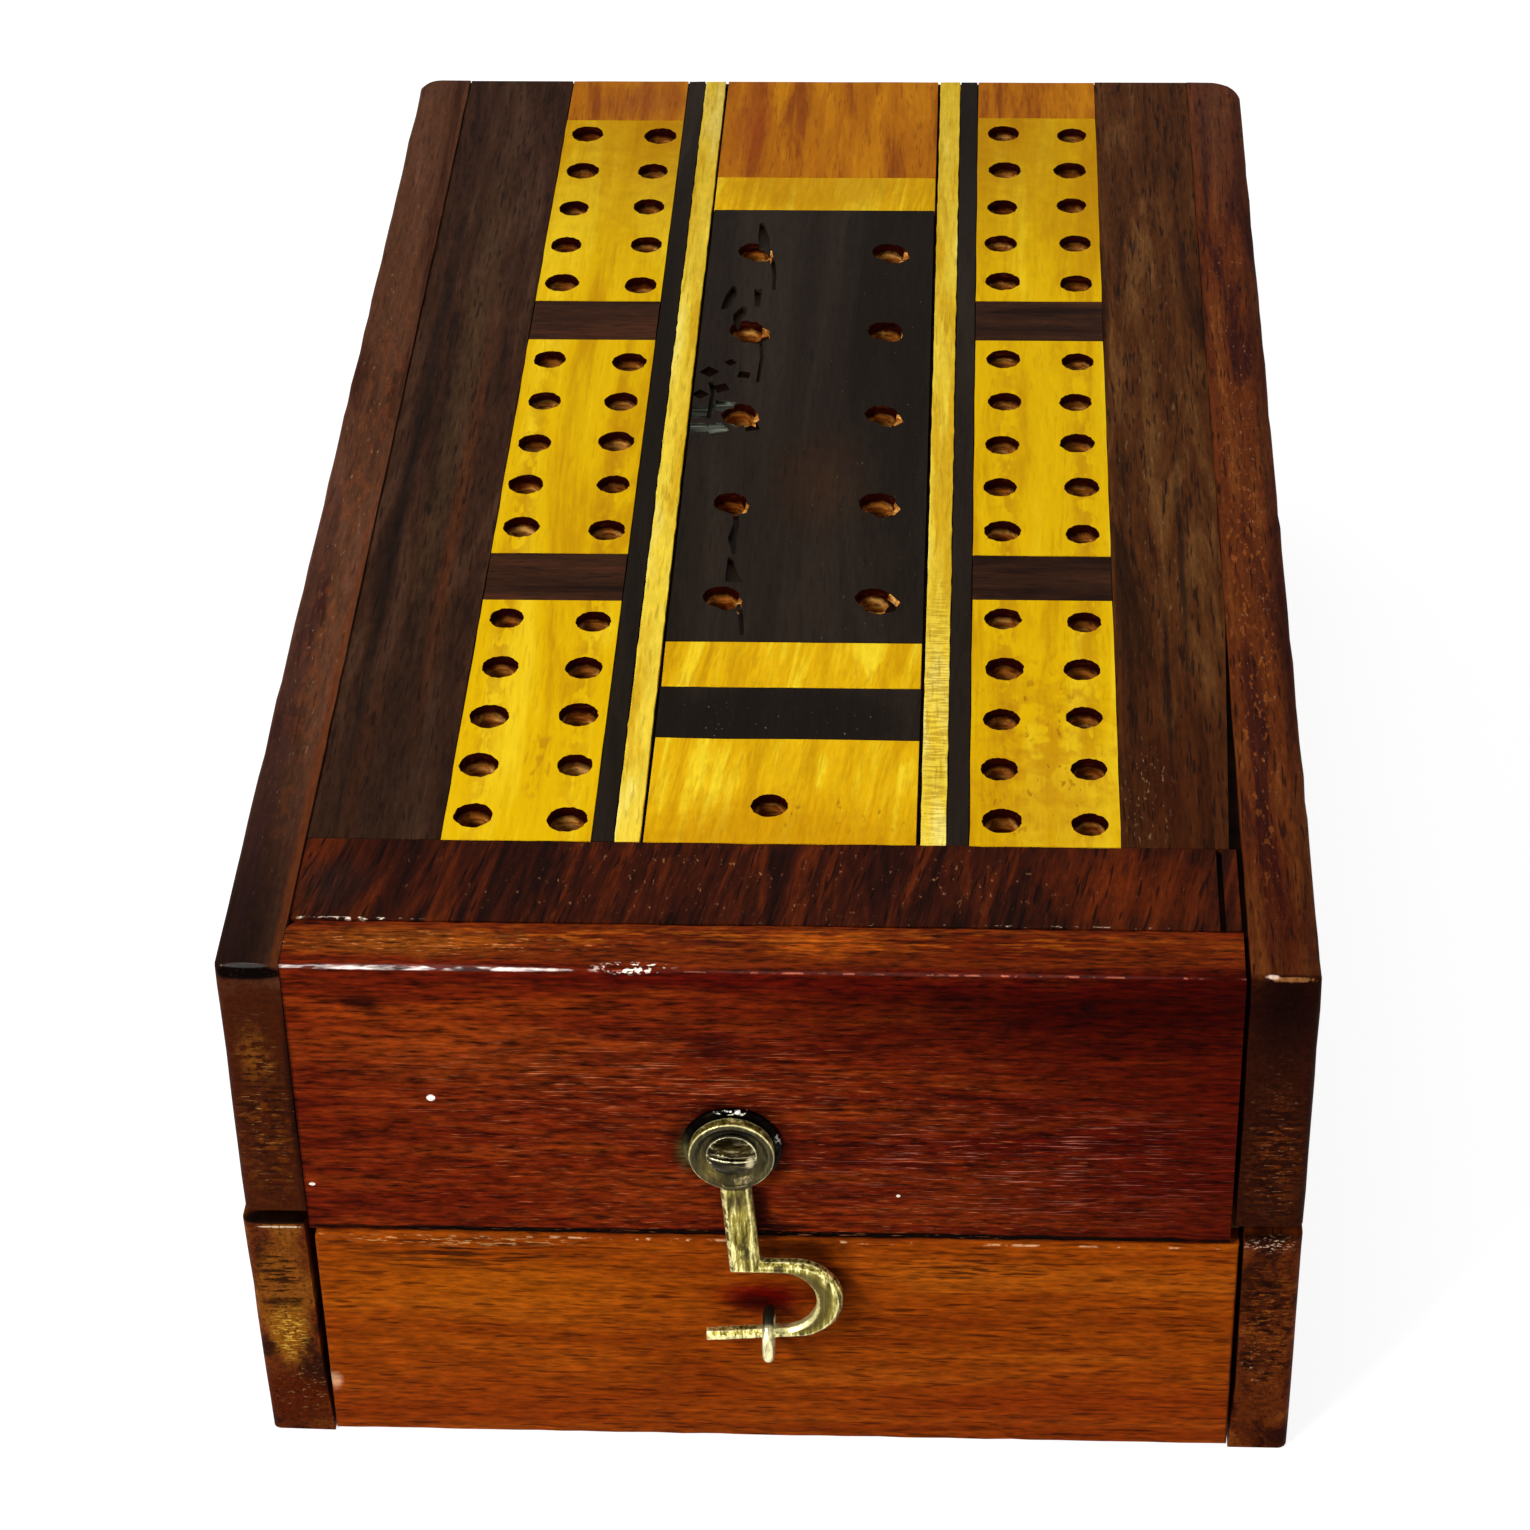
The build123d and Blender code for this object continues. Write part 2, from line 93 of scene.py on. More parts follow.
def put(tree, kind, inputs=None, **settings):
    """A shader node with its settings, and its inputs set or joined."""
    made = tree.nodes.new(kind)
    for name, value in settings.items():
        setattr(made, name, value)
    for name, value in (inputs or {}).items():
        if isinstance(value, bpy.types.NodeSocket):
            tree.links.new(value, made.inputs[name])
        else:
            made.inputs[name].default_value = value
    return made


def maths(tree, operation, first, second):
    return put(tree, "ShaderNodeMath", {0: first, 1: second}, operation=operation).outputs[0]


def seen_white(tree):
    """1 for rays that show the surroundings: from the camera, in gloss and through glass."""
    path = put(tree, "ShaderNodeLightPath")
    gloss = maths(tree, "MAXIMUM", path.outputs["Is Camera Ray"], path.outputs["Is Glossy Ray"])
    return maths(tree, "MAXIMUM", gloss, path.outputs["Is Transmission Ray"])


def empty_material(name):
    made = bpy.data.materials.new(name)
    made.use_nodes = True
    made.node_tree.nodes.clear()
    return made, made.node_tree


world = bpy.data.worlds.new("white_room")
bpy.context.scene.world = world
world.use_nodes = True
world.node_tree.nodes.clear()
seen = seen_white(world.node_tree)
strength = put(world.node_tree, "ShaderNodeMapRange", {"Value": seen, "To Min": 0.35, "To Max": 1.0})
sky = put(world.node_tree, "ShaderNodeBackground", {"Color": (1, 1, 1, 1), "Strength": strength.outputs[0]})
put(world.node_tree, "ShaderNodeOutputWorld", {"Surface": sky.outputs[0]})

table_paint, tree = empty_material("table_white")
seen = seen_white(tree)
bounce = put(tree, "ShaderNodeBsdfDiffuse", {"Color": (0.6, 0.6, 0.6, 1)})
shown = put(tree, "ShaderNodeBsdfDiffuse", {"Color": (0.3, 0.3, 0.3, 1)})
glow = put(tree, "ShaderNodeEmission", {"Color": (1, 1, 1, 1), "Strength": 0.85})
shown_glow = put(tree, "ShaderNodeAddShader", {0: shown.outputs[0], 1: glow.outputs[0]})
mixed = put(tree, "ShaderNodeMixShader", {0: seen, 1: bounce.outputs[0], 2: shown_glow.outputs[0]})
put(tree, "ShaderNodeOutputMaterial", {"Surface": mixed.outputs[0]})


def select_none():
    if bpy.context.object and bpy.context.object.mode != "OBJECT":
        bpy.ops.object.mode_set(mode="OBJECT")
    bpy.ops.object.select_all(action="DESELECT")


select_none()
bpy.ops.mesh.primitive_plane_add(size=6, location=(0, 0, -0.0002))
table = bpy.context.object
table.name = "table"
bpy.ops.object.transform_apply(location=True, rotation=True, scale=True)
table.data.materials.append(table_paint)


# ---- Side boards of the case ----
# Four old dark hardwood boards, an upper and a lower one on each side. They are planed, glued to the
# fronts' ends so that their end grain shows, and worn round at every outer corner.
def paint(code):
    """A colour from its six-figure code, as light."""
    parts = [int(code[place:place + 2], 16) / 255 for place in (0, 2, 4)]
    light = [((part + 0.055) / 1.055) ** 2.4 if part > 0.04045 else part / 12.92 for part in parts]
    return (*light, 1)


def group_socket(group, name, kind, out=False, value=None):
    made = group.interface.new_socket(name, in_out="OUTPUT" if out else "INPUT", socket_type=kind)
    if value is not None:
        made.default_value = value


def spread(tree, value, low, high, to_low=0.0, to_high=1.0):
    """A value carried smoothly from one range to another."""
    return put(tree, "ShaderNodeMapRange",
               {"Value": value, "From Min": low, "From Max": high, "To Min": to_low, "To Max": to_high},
               interpolation_type="SMOOTHSTEP").outputs[0]


def blend_colour(tree, share, first, second):
    return put(tree, "ShaderNodeMix", {0: share, 6: first, 7: second}, data_type="RGBA").outputs[2]


def vector_maths(tree, operation, first, second):
    return put(tree, "ShaderNodeVectorMath", {0: first, 1: second}, operation=operation).outputs[0]


def stretched(tree, place, scale):
    return vector_maths(tree, "MULTIPLY", place, scale)


def scaled(tree, value, factor):
    return put(tree, "ShaderNodeVectorMath", {0: value, "Scale": factor}, operation="SCALE").outputs[0]


def cloud(tree, place, detail=3.0, roughness=0.55, distortion=0.0, scale=1.0):
    return put(tree, "ShaderNodeTexNoise",
               {"Vector": place, "Scale": scale, "Detail": detail, "Roughness": roughness,
                "Distortion": distortion}).outputs["Fac"]


# Planed timber whose grain runs along X: broad figure, fine fibres and short open pores
timber = bpy.data.node_groups.new("planed_timber", "ShaderNodeTree")
group_socket(timber, "Place", "NodeSocketVector")
for name in ("Deep", "Body", "Pale"):
    group_socket(timber, name, "NodeSocketColor")
group_socket(timber, "Figure", "NodeSocketFloat", value=150)
group_socket(timber, "Fibre", "NodeSocketFloat", value=0.35)
group_socket(timber, "Pores", "NodeSocketFloat", value=0.5)
group_socket(timber, "Colour", "NodeSocketColor", out=True)
for name in ("Tone", "Gain", "Holes", "Relief"):
    group_socket(timber, name, "NodeSocketFloat", out=True)
given = put(timber, "NodeGroupInput").outputs
figure_place = scaled(timber, stretched(timber, given["Place"], (0.11, 1, 1)), given["Figure"])
figure = cloud(timber, figure_place, detail=6, roughness=0.6, distortion=0.7)
long_fibre = cloud(timber, stretched(timber, given["Place"], (130, 1900, 1900)), detail=4, roughness=0.7)
grit = cloud(timber, stretched(timber, given["Place"], (560, 2600, 2600)), detail=2, roughness=0.6)
fibre = maths(timber, "ADD", maths(timber, "MULTIPLY", long_fibre, 0.5),
              maths(timber, "MULTIPLY", grit, 0.5))
pore = cloud(timber, stretched(timber, given["Place"], (260, 2700, 2700)), detail=1)
pore_mask = maths(timber, "MULTIPLY", spread(timber, pore, 0.6, 0.7), given["Pores"])
lower = blend_colour(timber, spread(timber, figure, 0.36, 0.5), given["Deep"], given["Body"])
whole = blend_colour(timber, spread(timber, figure, 0.5, 0.64), lower, given["Pale"])
streak = maths(timber, "MULTIPLY", maths(timber, "SUBTRACT", fibre, 0.5), given["Fibre"])
gain = maths(timber, "ADD", maths(timber, "MULTIPLY", streak, 6.0), 1.0)
gain = maths(timber, "MAXIMUM", gain, 0.15)
relief = maths(timber, "SUBTRACT", fibre, pore_mask)
put(timber, "NodeGroupOutput", {"Colour": whole, "Tone": figure, "Gain": gain, "Holes": pore_mask,
                                "Relief": relief})

# A mark in one place, torn at its edge: a stain, worn line, rubbed corner, specks, or painted shade or
# highlight
mark_group = bpy.data.node_groups.new("mark", "ShaderNodeTree")
for name in ("Place", "Centre", "Reach", "Speck"):
    group_socket(mark_group, name, "NodeSocketVector")
for name in ("Soft", "Torn", "Cutoff"):
    group_socket(mark_group, name, "NodeSocketFloat")
group_socket(mark_group, "Mask", "NodeSocketFloat", out=True)
given = put(mark_group, "NodeGroupInput").outputs
offset = vector_maths(mark_group, "SUBTRACT", given["Place"], given["Centre"])
share = vector_maths(mark_group, "DIVIDE", offset, given["Reach"])
distance = put(mark_group, "ShaderNodeVectorMath", {0: share}, operation="LENGTH").outputs["Value"]
tear = cloud(mark_group, given["Place"], detail=4, roughness=0.65, scale=520)
tear = maths(mark_group, "MULTIPLY", maths(mark_group, "SUBTRACT", tear, 0.5), given["Torn"])
distance = maths(mark_group, "ADD", distance, tear)
inner = maths(mark_group, "SUBTRACT", 1.0, given["Soft"])
region = spread(mark_group, distance, 1.0, inner)
specks = cloud(mark_group, stretched(mark_group, given["Place"], given["Speck"]), detail=2)
cut_low = maths(mark_group, "SUBTRACT", given["Cutoff"], 0.05)
cut_high = maths(mark_group, "ADD", given["Cutoff"], 0.05)
specks = spread(mark_group, specks, cut_low, cut_high)
put(mark_group, "NodeGroupOutput", {"Mask": maths(mark_group, "MULTIPLY", region, specks)})


def mark(code, centre, reach, soft=0.6, torn=0.4, speck=(1, 1, 1), cutoff=-1.0, amount=1.0,
         rough=None, coat=0.0, rise=0.0):
    """A mark's colour, place and reach in millimetres, and what it does to the finish."""
    return dict(code=code, centre=centre, reach=reach, soft=soft, torn=torn, speck=speck, cutoff=cutoff,
                amount=amount, rough=rough, coat=coat, rise=rise)


def lay_marks(tree, place, marks, colour, shine, height):
    """Lays the marks over a finish. Gives it back with the places where varnish stands thick."""
    varnish = None
    for one in marks:
        made_mark = put(tree, "ShaderNodeGroup", {
            "Place": place, "Centre": [value * MM for value in one["centre"]],
            "Reach": [value * MM for value in one["reach"]],
            "Speck": [1000 / value for value in one["speck"]],
            "Soft": one["soft"], "Torn": one["torn"], "Cutoff": one["cutoff"]}, node_tree=mark_group)
        mask = maths(tree, "MULTIPLY", made_mark.outputs["Mask"], one["amount"])
        if one["code"]:
            colour = blend_colour(tree, mask, colour, paint(one["code"]))
        if one["rough"] is not None:
            shine = put(tree, "ShaderNodeMix", {0: mask, 2: shine, 3: one["rough"]}).outputs[0]
        if one["rise"]:
            height = maths(tree, "ADD", height, maths(tree, "MULTIPLY", mask, one["rise"]))
        if one["coat"]:
            bead = maths(tree, "MULTIPLY", mask, one["coat"])
            varnish = bead if varnish is None else maths(tree, "MAXIMUM", varnish, bead)
    return colour, shine, height, varnish


old_polish_gloss = 0.015  # old polish has sunk in, and shines only where varnish stands thick
own_grain_step = 0.037  # metres along the grain, so that no two boards share a figure


def wood(name, colours, turn=0.0, figure=150, fibre=0.35, pores=0.5, marks=(), rough=0.5, bump=0.25):
    """A timber finish in four tones, of which the last is its pores'. Turn is the grain's, from X."""
    made, tree = empty_material(name)
    place = put(tree, "ShaderNodeTexCoord").outputs["Object"]
    turned = put(tree, "ShaderNodeMapping",
                 {"Vector": place, "Rotation": (0, 0, -math.radians(turn)),
                  "Location": (own_grain_step * len(name), 0, 0)}).outputs[0]
    deep, body, pale, hollow = (paint(code) for code in colours)
    grain = put(tree, "ShaderNodeGroup", {
        "Place": turned, "Deep": deep, "Body": body, "Pale": pale, "Figure": figure, "Fibre": fibre,
        "Pores": pores}, node_tree=timber)
    shine = spread(tree, grain.outputs["Tone"], 0.3, 0.7, rough + 0.06, rough - 0.06)
    colour, shine, height, varnish = lay_marks(tree, place, marks, grain.outputs["Colour"], shine,
                                               grain.outputs["Relief"])
    colour = scaled(tree, colour, grain.outputs["Gain"])
    colour = blend_colour(tree, grain.outputs["Holes"], colour, hollow)
    normal = put(tree, "ShaderNodeBump", {"Height": height, "Strength": bump, "Distance": 0.00012})
    surface = put(tree, "ShaderNodeBsdfPrincipled",
                  {"Base Color": colour, "Roughness": shine, "Normal": normal.outputs[0],
                   "Specular IOR Level": old_polish_gloss, "Coat Roughness": 0.12})
    if varnish is not None:
        tree.links.new(varnish, surface.inputs["Coat Weight"])
    put(tree, "ShaderNodeOutputMaterial", {"Surface": surface.outputs[0]})
    return made


def select_only(*pieces):
    select_none()
    for piece in pieces:
        piece.select_set(True)
    bpy.context.view_layer.objects.active = pieces[-1]


def open_edit(piece, kind="EDGE"):
    select_only(piece)
    bpy.ops.object.mode_set(mode="EDIT")
    bpy.ops.mesh.select_mode(type=kind)
    bpy.ops.mesh.select_all(action="DESELECT")


def pick(piece, kind, rule):
    """Selects the vertices, edges or faces whose middle and normal meet the rule."""
    shape = bmesh.from_edit_mesh(piece.data)
    for element in getattr(shape, kind):
        if kind == "verts":
            chosen = rule(element.co, element.normal)
        elif kind == "edges":
            chosen = rule((element.verts[0].co + element.verts[1].co) / 2,
                          (element.verts[0].co - element.verts[1].co).normalized())
        else:
            chosen = rule(element.calc_center_median(), element.normal)
        element.select = bool(chosen)
    shape.select_flush_mode()
    bmesh.update_edit_mesh(piece.data)


def block(name, low, high):
    """A squared piece between two corners."""
    select_none()
    bpy.ops.mesh.primitive_cube_add(size=1, location=(Vector(low) + Vector(high)) / 2)
    piece = bpy.context.object
    piece.name = name
    piece.scale = Vector(high) - Vector(low)
    bpy.ops.object.transform_apply(location=True, rotation=True, scale=True)
    return piece


def round_edges(piece, rule, radius, segments=4):
    open_edit(piece)
    pick(piece, "edges", rule)
    bpy.ops.mesh.bevel(offset=radius, segments=segments, affect="EDGES", clamp_overlap=True)
    bpy.ops.object.mode_set(mode="OBJECT")


def slice_across(piece, axis, step, seed):
    """Cuts the piece across at uneven steps, so that its edges can be worn."""
    chance = random.Random(seed)
    values = [vertex.co[axis] for vertex in piece.data.vertices]
    place = min(values) + step
    normal = [0, 0, 0]
    normal[axis] = 1
    open_edit(piece, "FACE")
    while place < max(values) - step / 2:
        bpy.ops.mesh.select_all(action="SELECT")
        point = [0, 0, 0]
        point[axis] = place
        bpy.ops.mesh.bisect(plane_co=point, plane_no=normal)
        place += step * chance.uniform(0.7, 1.3)
    bpy.ops.object.mode_set(mode="OBJECT")


def apply_all(piece):
    select_only(piece)
    for modifier in list(piece.modifiers):
        bpy.ops.object.modifier_apply(modifier=modifier.name)


def wear_edges(piece, low, high, depth, size, reach=1.4 * MM):
    """Rubs the piece unevenly along the edges of its block."""
    worn = piece.vertex_groups.new(name="worn")
    for vertex in piece.data.vertices:
        near = sorted(min(abs(vertex.co[axis] - low[axis]), abs(vertex.co[axis] - high[axis]))
                      for axis in range(3))
        if near[1] < reach:
            worn.add([vertex.index], 1 - 0.5 * near[1] / reach, "REPLACE")
    lumps = bpy.data.textures.new(piece.name + "_wear", "CLOUDS")
    lumps.noise_scale = size
    rub = piece.modifiers.new("rub", "DISPLACE")
    rub.texture = lumps
    rub.texture_coords = "LOCAL"
    rub.strength = depth
    rub.mid_level = 0.7
    rub.vertex_group = "worn"
    apply_all(piece)


def finish_piece(piece, material, body, replaced=(), angle=35):
    select_only(piece)
    if not piece.data.materials:
        piece.data.materials.append(material)
    bpy.ops.object.shade_smooth_by_angle(angle=math.radians(angle))
    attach(piece, body)
    if replaced:
        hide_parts(*replaced)


left_end_wood = wood("upper_left_side_wood", ("361a0e", "4e2e1c", "5e3a28", "281208"), turn=90, figure=170,
                     fibre=0.3, marks=[
    mark("180a05", (-48, -85, 59.7), (8, 52, 3), soft=0.9, torn=0.3),
    mark("2c1618", (-48.6, -40, 59.7), (2, 60, 3), soft=0.8, amount=0.5),
    mark("5a2a10", (-44.4, -60, 59.7), (0.7, 80, 4), torn=0.9, soft=0.8, amount=0.8),
    mark("46180a", (-50, 0, 44), (1.5, 120, 20), soft=0.3, amount=0.25),
    mark("3a1404", (-47, -85.3, 42), (8, 1.4, 20), soft=0.3, amount=0.97),
    mark("74400f", (-47.2, -85.3, 49), (2.6, 1.2, 5), soft=1.0, torn=1.4, speck=(1.2, 1, 0.9), cutoff=0.46,
         amount=0.7),
    mark("6e3408", (-47, -85.3, 38), (4, 1.2, 10), soft=0.9, torn=0.9, speck=(1.4, 1, 0.8), cutoff=0.56,
         amount=0.6),
    mark("140602", (-47, -85.3, 42), (4, 1.2, 16), soft=0.9, torn=0.8, speck=(2.0, 1, 0.5), cutoff=0.57,
         amount=0.8),
    mark("140602", (-44.0, -85.3, 42), (0.8, 1.2, 20), soft=0.8, torn=0.6, amount=0.9),
    mark("a8763c", (-47, -85.3, 42), (4, 1.2, 16), soft=0.9, speck=(1.2, 1, 0.14), cutoff=0.68, amount=0.7),
    mark("040100", (-47, -85.5, 58.8), (5, 1.0, 1.1), soft=0.4, torn=0.2),
    mark("", (-47.2, -85.15, 59.6), (2.6, 0.34, 0.34), soft=0.3, torn=0.1, rough=0.12, coat=1),
    mark("6e3a1e", (-46.5, -10, 59.7), (3, 70, 1), speck=(0.8, 3.0, 0.5), cutoff=0.55, torn=0.6,
         amount=0.4),
    mark("b08060", (-47, 0, 59.7), (3.5, 90, 1), speck=(0.3, 1.2, 0.5), cutoff=0.7, amount=0.35)])
right_end_wood = wood("upper_right_side_wood", ("30100a", "58270c", "6e3a14", "1c0804"), turn=90,
                      figure=260, fibre=0.45, pores=0.8, marks=[
    mark("380f04", (46.5, -78, 59.7), (5, 26, 3), soft=1.0, amount=0.75),
    # Painted sheen: the top turns greyer towards the back
    mark("4a2c1e", (46.5, 80, 59.7), (5, 40, 3), soft=1.0, amount=0.6),
    mark("2a0f06", (49.2, 0, 59.7), (1.0, 200, 2), torn=0.9, amount=0.6),
    mark("8a4a1c", (46, -30, 59.7), (3, 60, 2), torn=0.9, speck=(0.5, 1.5, 0.5), cutoff=0.62, amount=0.6),
    mark("260a03", (47, -85.3, 44), (8, 1.4, 22), soft=0.3, amount=0.95),
    mark("100201", (47, -85.3, 57), (6, 1.2, 10), soft=0.9, torn=0.5, amount=0.97),
    mark("5a2608", (46.8, -85.3, 38), (4, 1, 11), soft=0.9, speck=(2, 1, 0.4), cutoff=0.52, amount=0.8),
    mark("120301", (46.8, -85.3, 40), (4, 1, 14), soft=0.9, speck=(1.6, 1, 0.5), cutoff=0.56, amount=0.8),
    mark("a87048", (47, -85.3, 38), (4, 1, 16), soft=0.9, speck=(1.0, 1, 0.16), cutoff=0.69, amount=0.6),
    mark("a06838", (47.5, -85.1, 59.6), (3, 0.3, 0.4), soft=0.5, torn=0.9, cutoff=0.5, amount=0.6),
    mark("e0c0a8", (45.4, -84.9, 59.8), (0.9, 0.4, 0.4), soft=0.5, torn=1.2, amount=0.9),
    mark("c09070", (46.5, 0, 59.7), (3, 90, 1), speck=(0.3, 1.0, 0.4), cutoff=0.69, amount=0.35)])
lower_left_wood = wood("lower_left_side_wood", ("2a0f05", "56240a", "74400f", "180805"), turn=90,
                       figure=190, fibre=0.4, pores=0.6, marks=[
    mark("76400e", (-47.2, -85.3, 18), (3.4, 1.4, 10), soft=0.5, torn=0.9, amount=0.95),
    mark("8a560e", (-47.0, -85.3, 13.8), (2.6, 1.2, 5.0), soft=0.9, torn=1.2, amount=0.85),
    mark("1e0a02", (-47.4, -85.3, 20.5), (3, 1.2, 7), speck=(2.2, 1, 0.35), cutoff=0.53, amount=0.9),
    mark("2a1002", (-47.6, -85.3, 17.6), (2.6, 1.2, 0.8), soft=0.8, torn=1.0, amount=0.85),
    mark("e0b048", (-47.0, -85.3, 13.5), (2.4, 1.2, 4.6), soft=0.9, speck=(0.8, 1, 0.22), cutoff=0.58,
         amount=0.75),
    mark("5a2c08", (-46.6, -85.3, 13), (2.4, 1.2, 5), soft=0.9, speck=(0.5, 1, 1.6), cutoff=0.6,
         amount=0.7),
    mark("441402", (-47.5, -85.3, 4.5), (5, 1.4, 4.5), soft=0.5, torn=0.5, amount=0.9),
    mark("a87848", (-46, -85.3, 6), (4, 1.2, 5), soft=0.9, speck=(0.7, 1, 0.3), cutoff=0.66, amount=0.6),
    mark("050201", (-47, -85.3, 28.2), (5, 3, 0.6), soft=0.4, torn=0.3, amount=0.97),
    # Painted highlight: a pale broken line where the board's top edge catches the light
    mark("d8c0a0", (-47, -85.2, 27.4), (2.6, 0.6, 0.16), soft=0.4, torn=0.9, amount=0.8)])
lower_right_wood = wood("lower_right_side_wood", ("2a0c04", "562308", "6e360e", "160603"), turn=90,
                        figure=190, fibre=0.4, pores=0.6, marks=[
    mark("120401", (46, -85.3, 28.2), (6, 1.5, 1.4), soft=0.8, amount=0.9),
    mark("160501", (47, -85.3, 16), (4, 1.2, 14), speck=(1.6, 1, 0.5), cutoff=0.54, amount=0.85),
    mark("8a4a14", (47.4, -85.3, 17), (4, 1.2, 12), soft=0.9, speck=(1.0, 1, 0.25), cutoff=0.6, amount=0.7),
    # Painted highlight: pale specks where the board's top edge catches the light
    mark("e0b898", (46.9, -85.3, 27.2), (3.4, 1, 1.3), soft=0.8, speck=(0.5, 0.4, 0.2), cutoff=0.6,
         amount=0.8),
    mark("b88c64", (46, -85.3, 12), (2, 1, 6), soft=0.8, speck=(0.4, 0.4, 0.6), cutoff=0.66, amount=0.6)])


front_corner_radius = 0.9 * MM
warp_height = 7 * MM  # the lower boards curl in below this


def side_board(name, material, outer, back_radius, foot_radius=0.0, top_radius=0.0, lean=0.0, warp=0.0):
    """An end-grained board. Outer is 1 on the right and -1 on the left; it may lean out or curl in."""
    low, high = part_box(name)
    low.x += lean
    piece = block("worn_" + name, low, high)
    outer_x = high.x if outer > 0 else low.x
    round_edges(piece, lambda middle, along: abs(along.z) > 0.9 and abs(middle.x - outer_x) < 1e-5
                and middle.y > 0, back_radius, 8)
    round_edges(piece, lambda middle, along: abs(along.z) > 0.9 and abs(middle.x - outer_x) < 1e-5
                and middle.y < 0, front_corner_radius, 4)
    inner_x = low.x if outer > 0 else high.x
    if top_radius:
        round_edges(piece, lambda middle, along: middle.z > high.z - 1e-5
                    and abs(middle.x - inner_x) > 1e-4, top_radius, 4)
    if foot_radius:
        round_edges(piece, lambda middle, along: middle.z < low.z + 1e-5
                    and abs(middle.x - outer_x) < 1e-5, foot_radius, 6)
    slice_across(piece, 1, 3.5 * MM, len(name))
    slice_across(piece, 2, 4 * MM, len(name) + 1)
    wear_edges(piece, low, high, 0.35 * MM, 2.2 * MM)
    if lean:
        for vertex in piece.data.vertices:
            vertex.co.x -= lean * (vertex.co.z - low.z) / (high.z - low.z)
    for vertex in piece.data.vertices:
        if abs(vertex.co.x - inner_x) < 0.6 * MM and vertex.co.z < warp_height:
            vertex.co.x -= outer * warp * (1 - vertex.co.z / warp_height)
    finish_piece(piece, material, "case", [name])


side_board("upper_side_left", left_end_wood, -1, 2.5 * MM, top_radius=0.55 * MM)
side_board("upper_side_right", right_end_wood, 1, 4.0 * MM, top_radius=0.55 * MM)
side_board("lower_side_left", lower_left_wood, -1, 2.5 * MM, foot_radius=1.0 * MM, lean=0.4 * MM,
           warp=0.36 * MM)
side_board("lower_side_right", lower_right_wood, 1, 4.0 * MM, foot_radius=2.2 * MM, warp=0.4 * MM)

# ---- Backs, case bottom and dust board ----
# The back is closed by two boards of the same dark wood. The bottom and the thin board that the drawer
# slides under are plain pine, seen only at the back edges, in the gap round the case and from below.
back_wood = wood("back_wood", ("1e0d07", "3e2010", "523018", "140806"), figure=140, fibre=0.3, marks=[
    mark("140805", (0, 85.3, 28), (60, 3, 4), soft=0.9, amount=0.5)])
pine = wood("pine", ("96683a", "b98a52", "cba266", "74481f"), turn=90, figure=260, fibre=0.4, pores=0.4,
            rough=0.6, marks=[
    mark("4a2c14", (0, 0, 29), (60, 90, 1.5), soft=0.3, torn=0.3, amount=0.5)
] + [
    # Darker at the foot of the drawer's sides and on the bottom beside them: dirt and painted shade
    mark("4c2e14", (side * 40.5, 0, 5), (2.4, 100, 5), soft=0.9, torn=0.9, amount=0.75)
    for side in (-1, 1)])
for name in ("upper_back", "lower_back"):
    low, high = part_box(name)
    piece = block("worn_" + name, low, high)
    slice_across(piece, 0, 5 * MM, 3)
    wear_edges(piece, low, high, 0.2 * MM, 2 * MM)
    finish_piece(piece, back_wood, "case", [name])


def dress(name, material):
    """A carried-over solid takes its better finish."""
    nodes[name].data.materials.clear()
    nodes[name].data.materials.append(material)


edge_dirt = [mark("0c0502", (side * 50, 0, 29), (6, 200, 4), soft=0.4, torn=0.4) for side in (-1, 1)]
edge_dirt += [mark("0c0502", (0, side * 86, 29), (200, 8, 4), soft=0.4, torn=0.4) for side in (-1, 1)]
sooty_pine = wood("sooty_pine", ("6a4422", "8e6236", "a87e4c", "4e3018"), turn=90, figure=120, fibre=0.3,
                  pores=0.3, rough=0.6, marks=edge_dirt)
dress("dust_board", sooty_pine)
dress("case_bottom", pine)

# ---- Ground panel with the peg holes ----
# One thick board under the inlay. All the peg holes are bored through the inlay into it after
# gluing, one by one and by hand, so they stray a little, and their mouths are ragged.
hole_radius = 1.7 * MM
hole_depth = 8.5 * MM
veneer_top = 59.4 * MM
rows = 5
end_margins = {"left": (3.5, 4.5, 3.7), "right": (3.6, 4.2, 4.1)}
column_spacing = {"left": 8.8, "right": 8.1}
tally_side_margin = 5.2 * MM
tally_front_margin = 7.8 * MM
tally_back_margin = 9.6 * MM
game_hole_shift = -1.2 * MM
game_hole_inset = 5.8 * MM
stray_size = 0.25
stray_turn = 2.4
stray_phase = 1.6


def bored_row_places():
    """Where the peg holes of the six yellow panels lie, from the panels' own boxes."""
    found = []
    for side in ("left", "right"):
        for index, part in enumerate(("front", "middle", "rear")):
            low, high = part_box(f"panel_{side}_{part}")
            margin = end_margins[side][index] * MM
            pitch = (high.y - low.y - 2 * margin) / (rows - 1)
            for row in range(rows):
                for column in (-1, 1):
                    number = 2 * row + (column + 1) / 2
                    x = (low.x + high.x) / 2 + column * column_spacing[side] * MM / 2
                    x += stray_size * MM * math.sin(stray_turn * number)
                    y = low.y + margin + row * pitch
                    y += stray_size * MM * math.sin(stray_turn * number + stray_phase)
                    found.append((x, y))
    return found


tally_low, tally_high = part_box("tally_panel")
tally_pitch = (tally_high.y - tally_low.y - tally_front_margin - tally_back_margin) / (rows - 1)
tally_places = [(x, tally_low.y + tally_front_margin + row * tally_pitch) for row in range(rows)
                for x in (tally_low.x + tally_side_margin, tally_high.x - tally_side_margin)]
game_low, game_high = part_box("game_hole_block")
game_place = ((game_low.x + game_high.x) / 2 + game_hole_shift, game_low.y + game_hole_inset)
panel_places = bored_row_places()

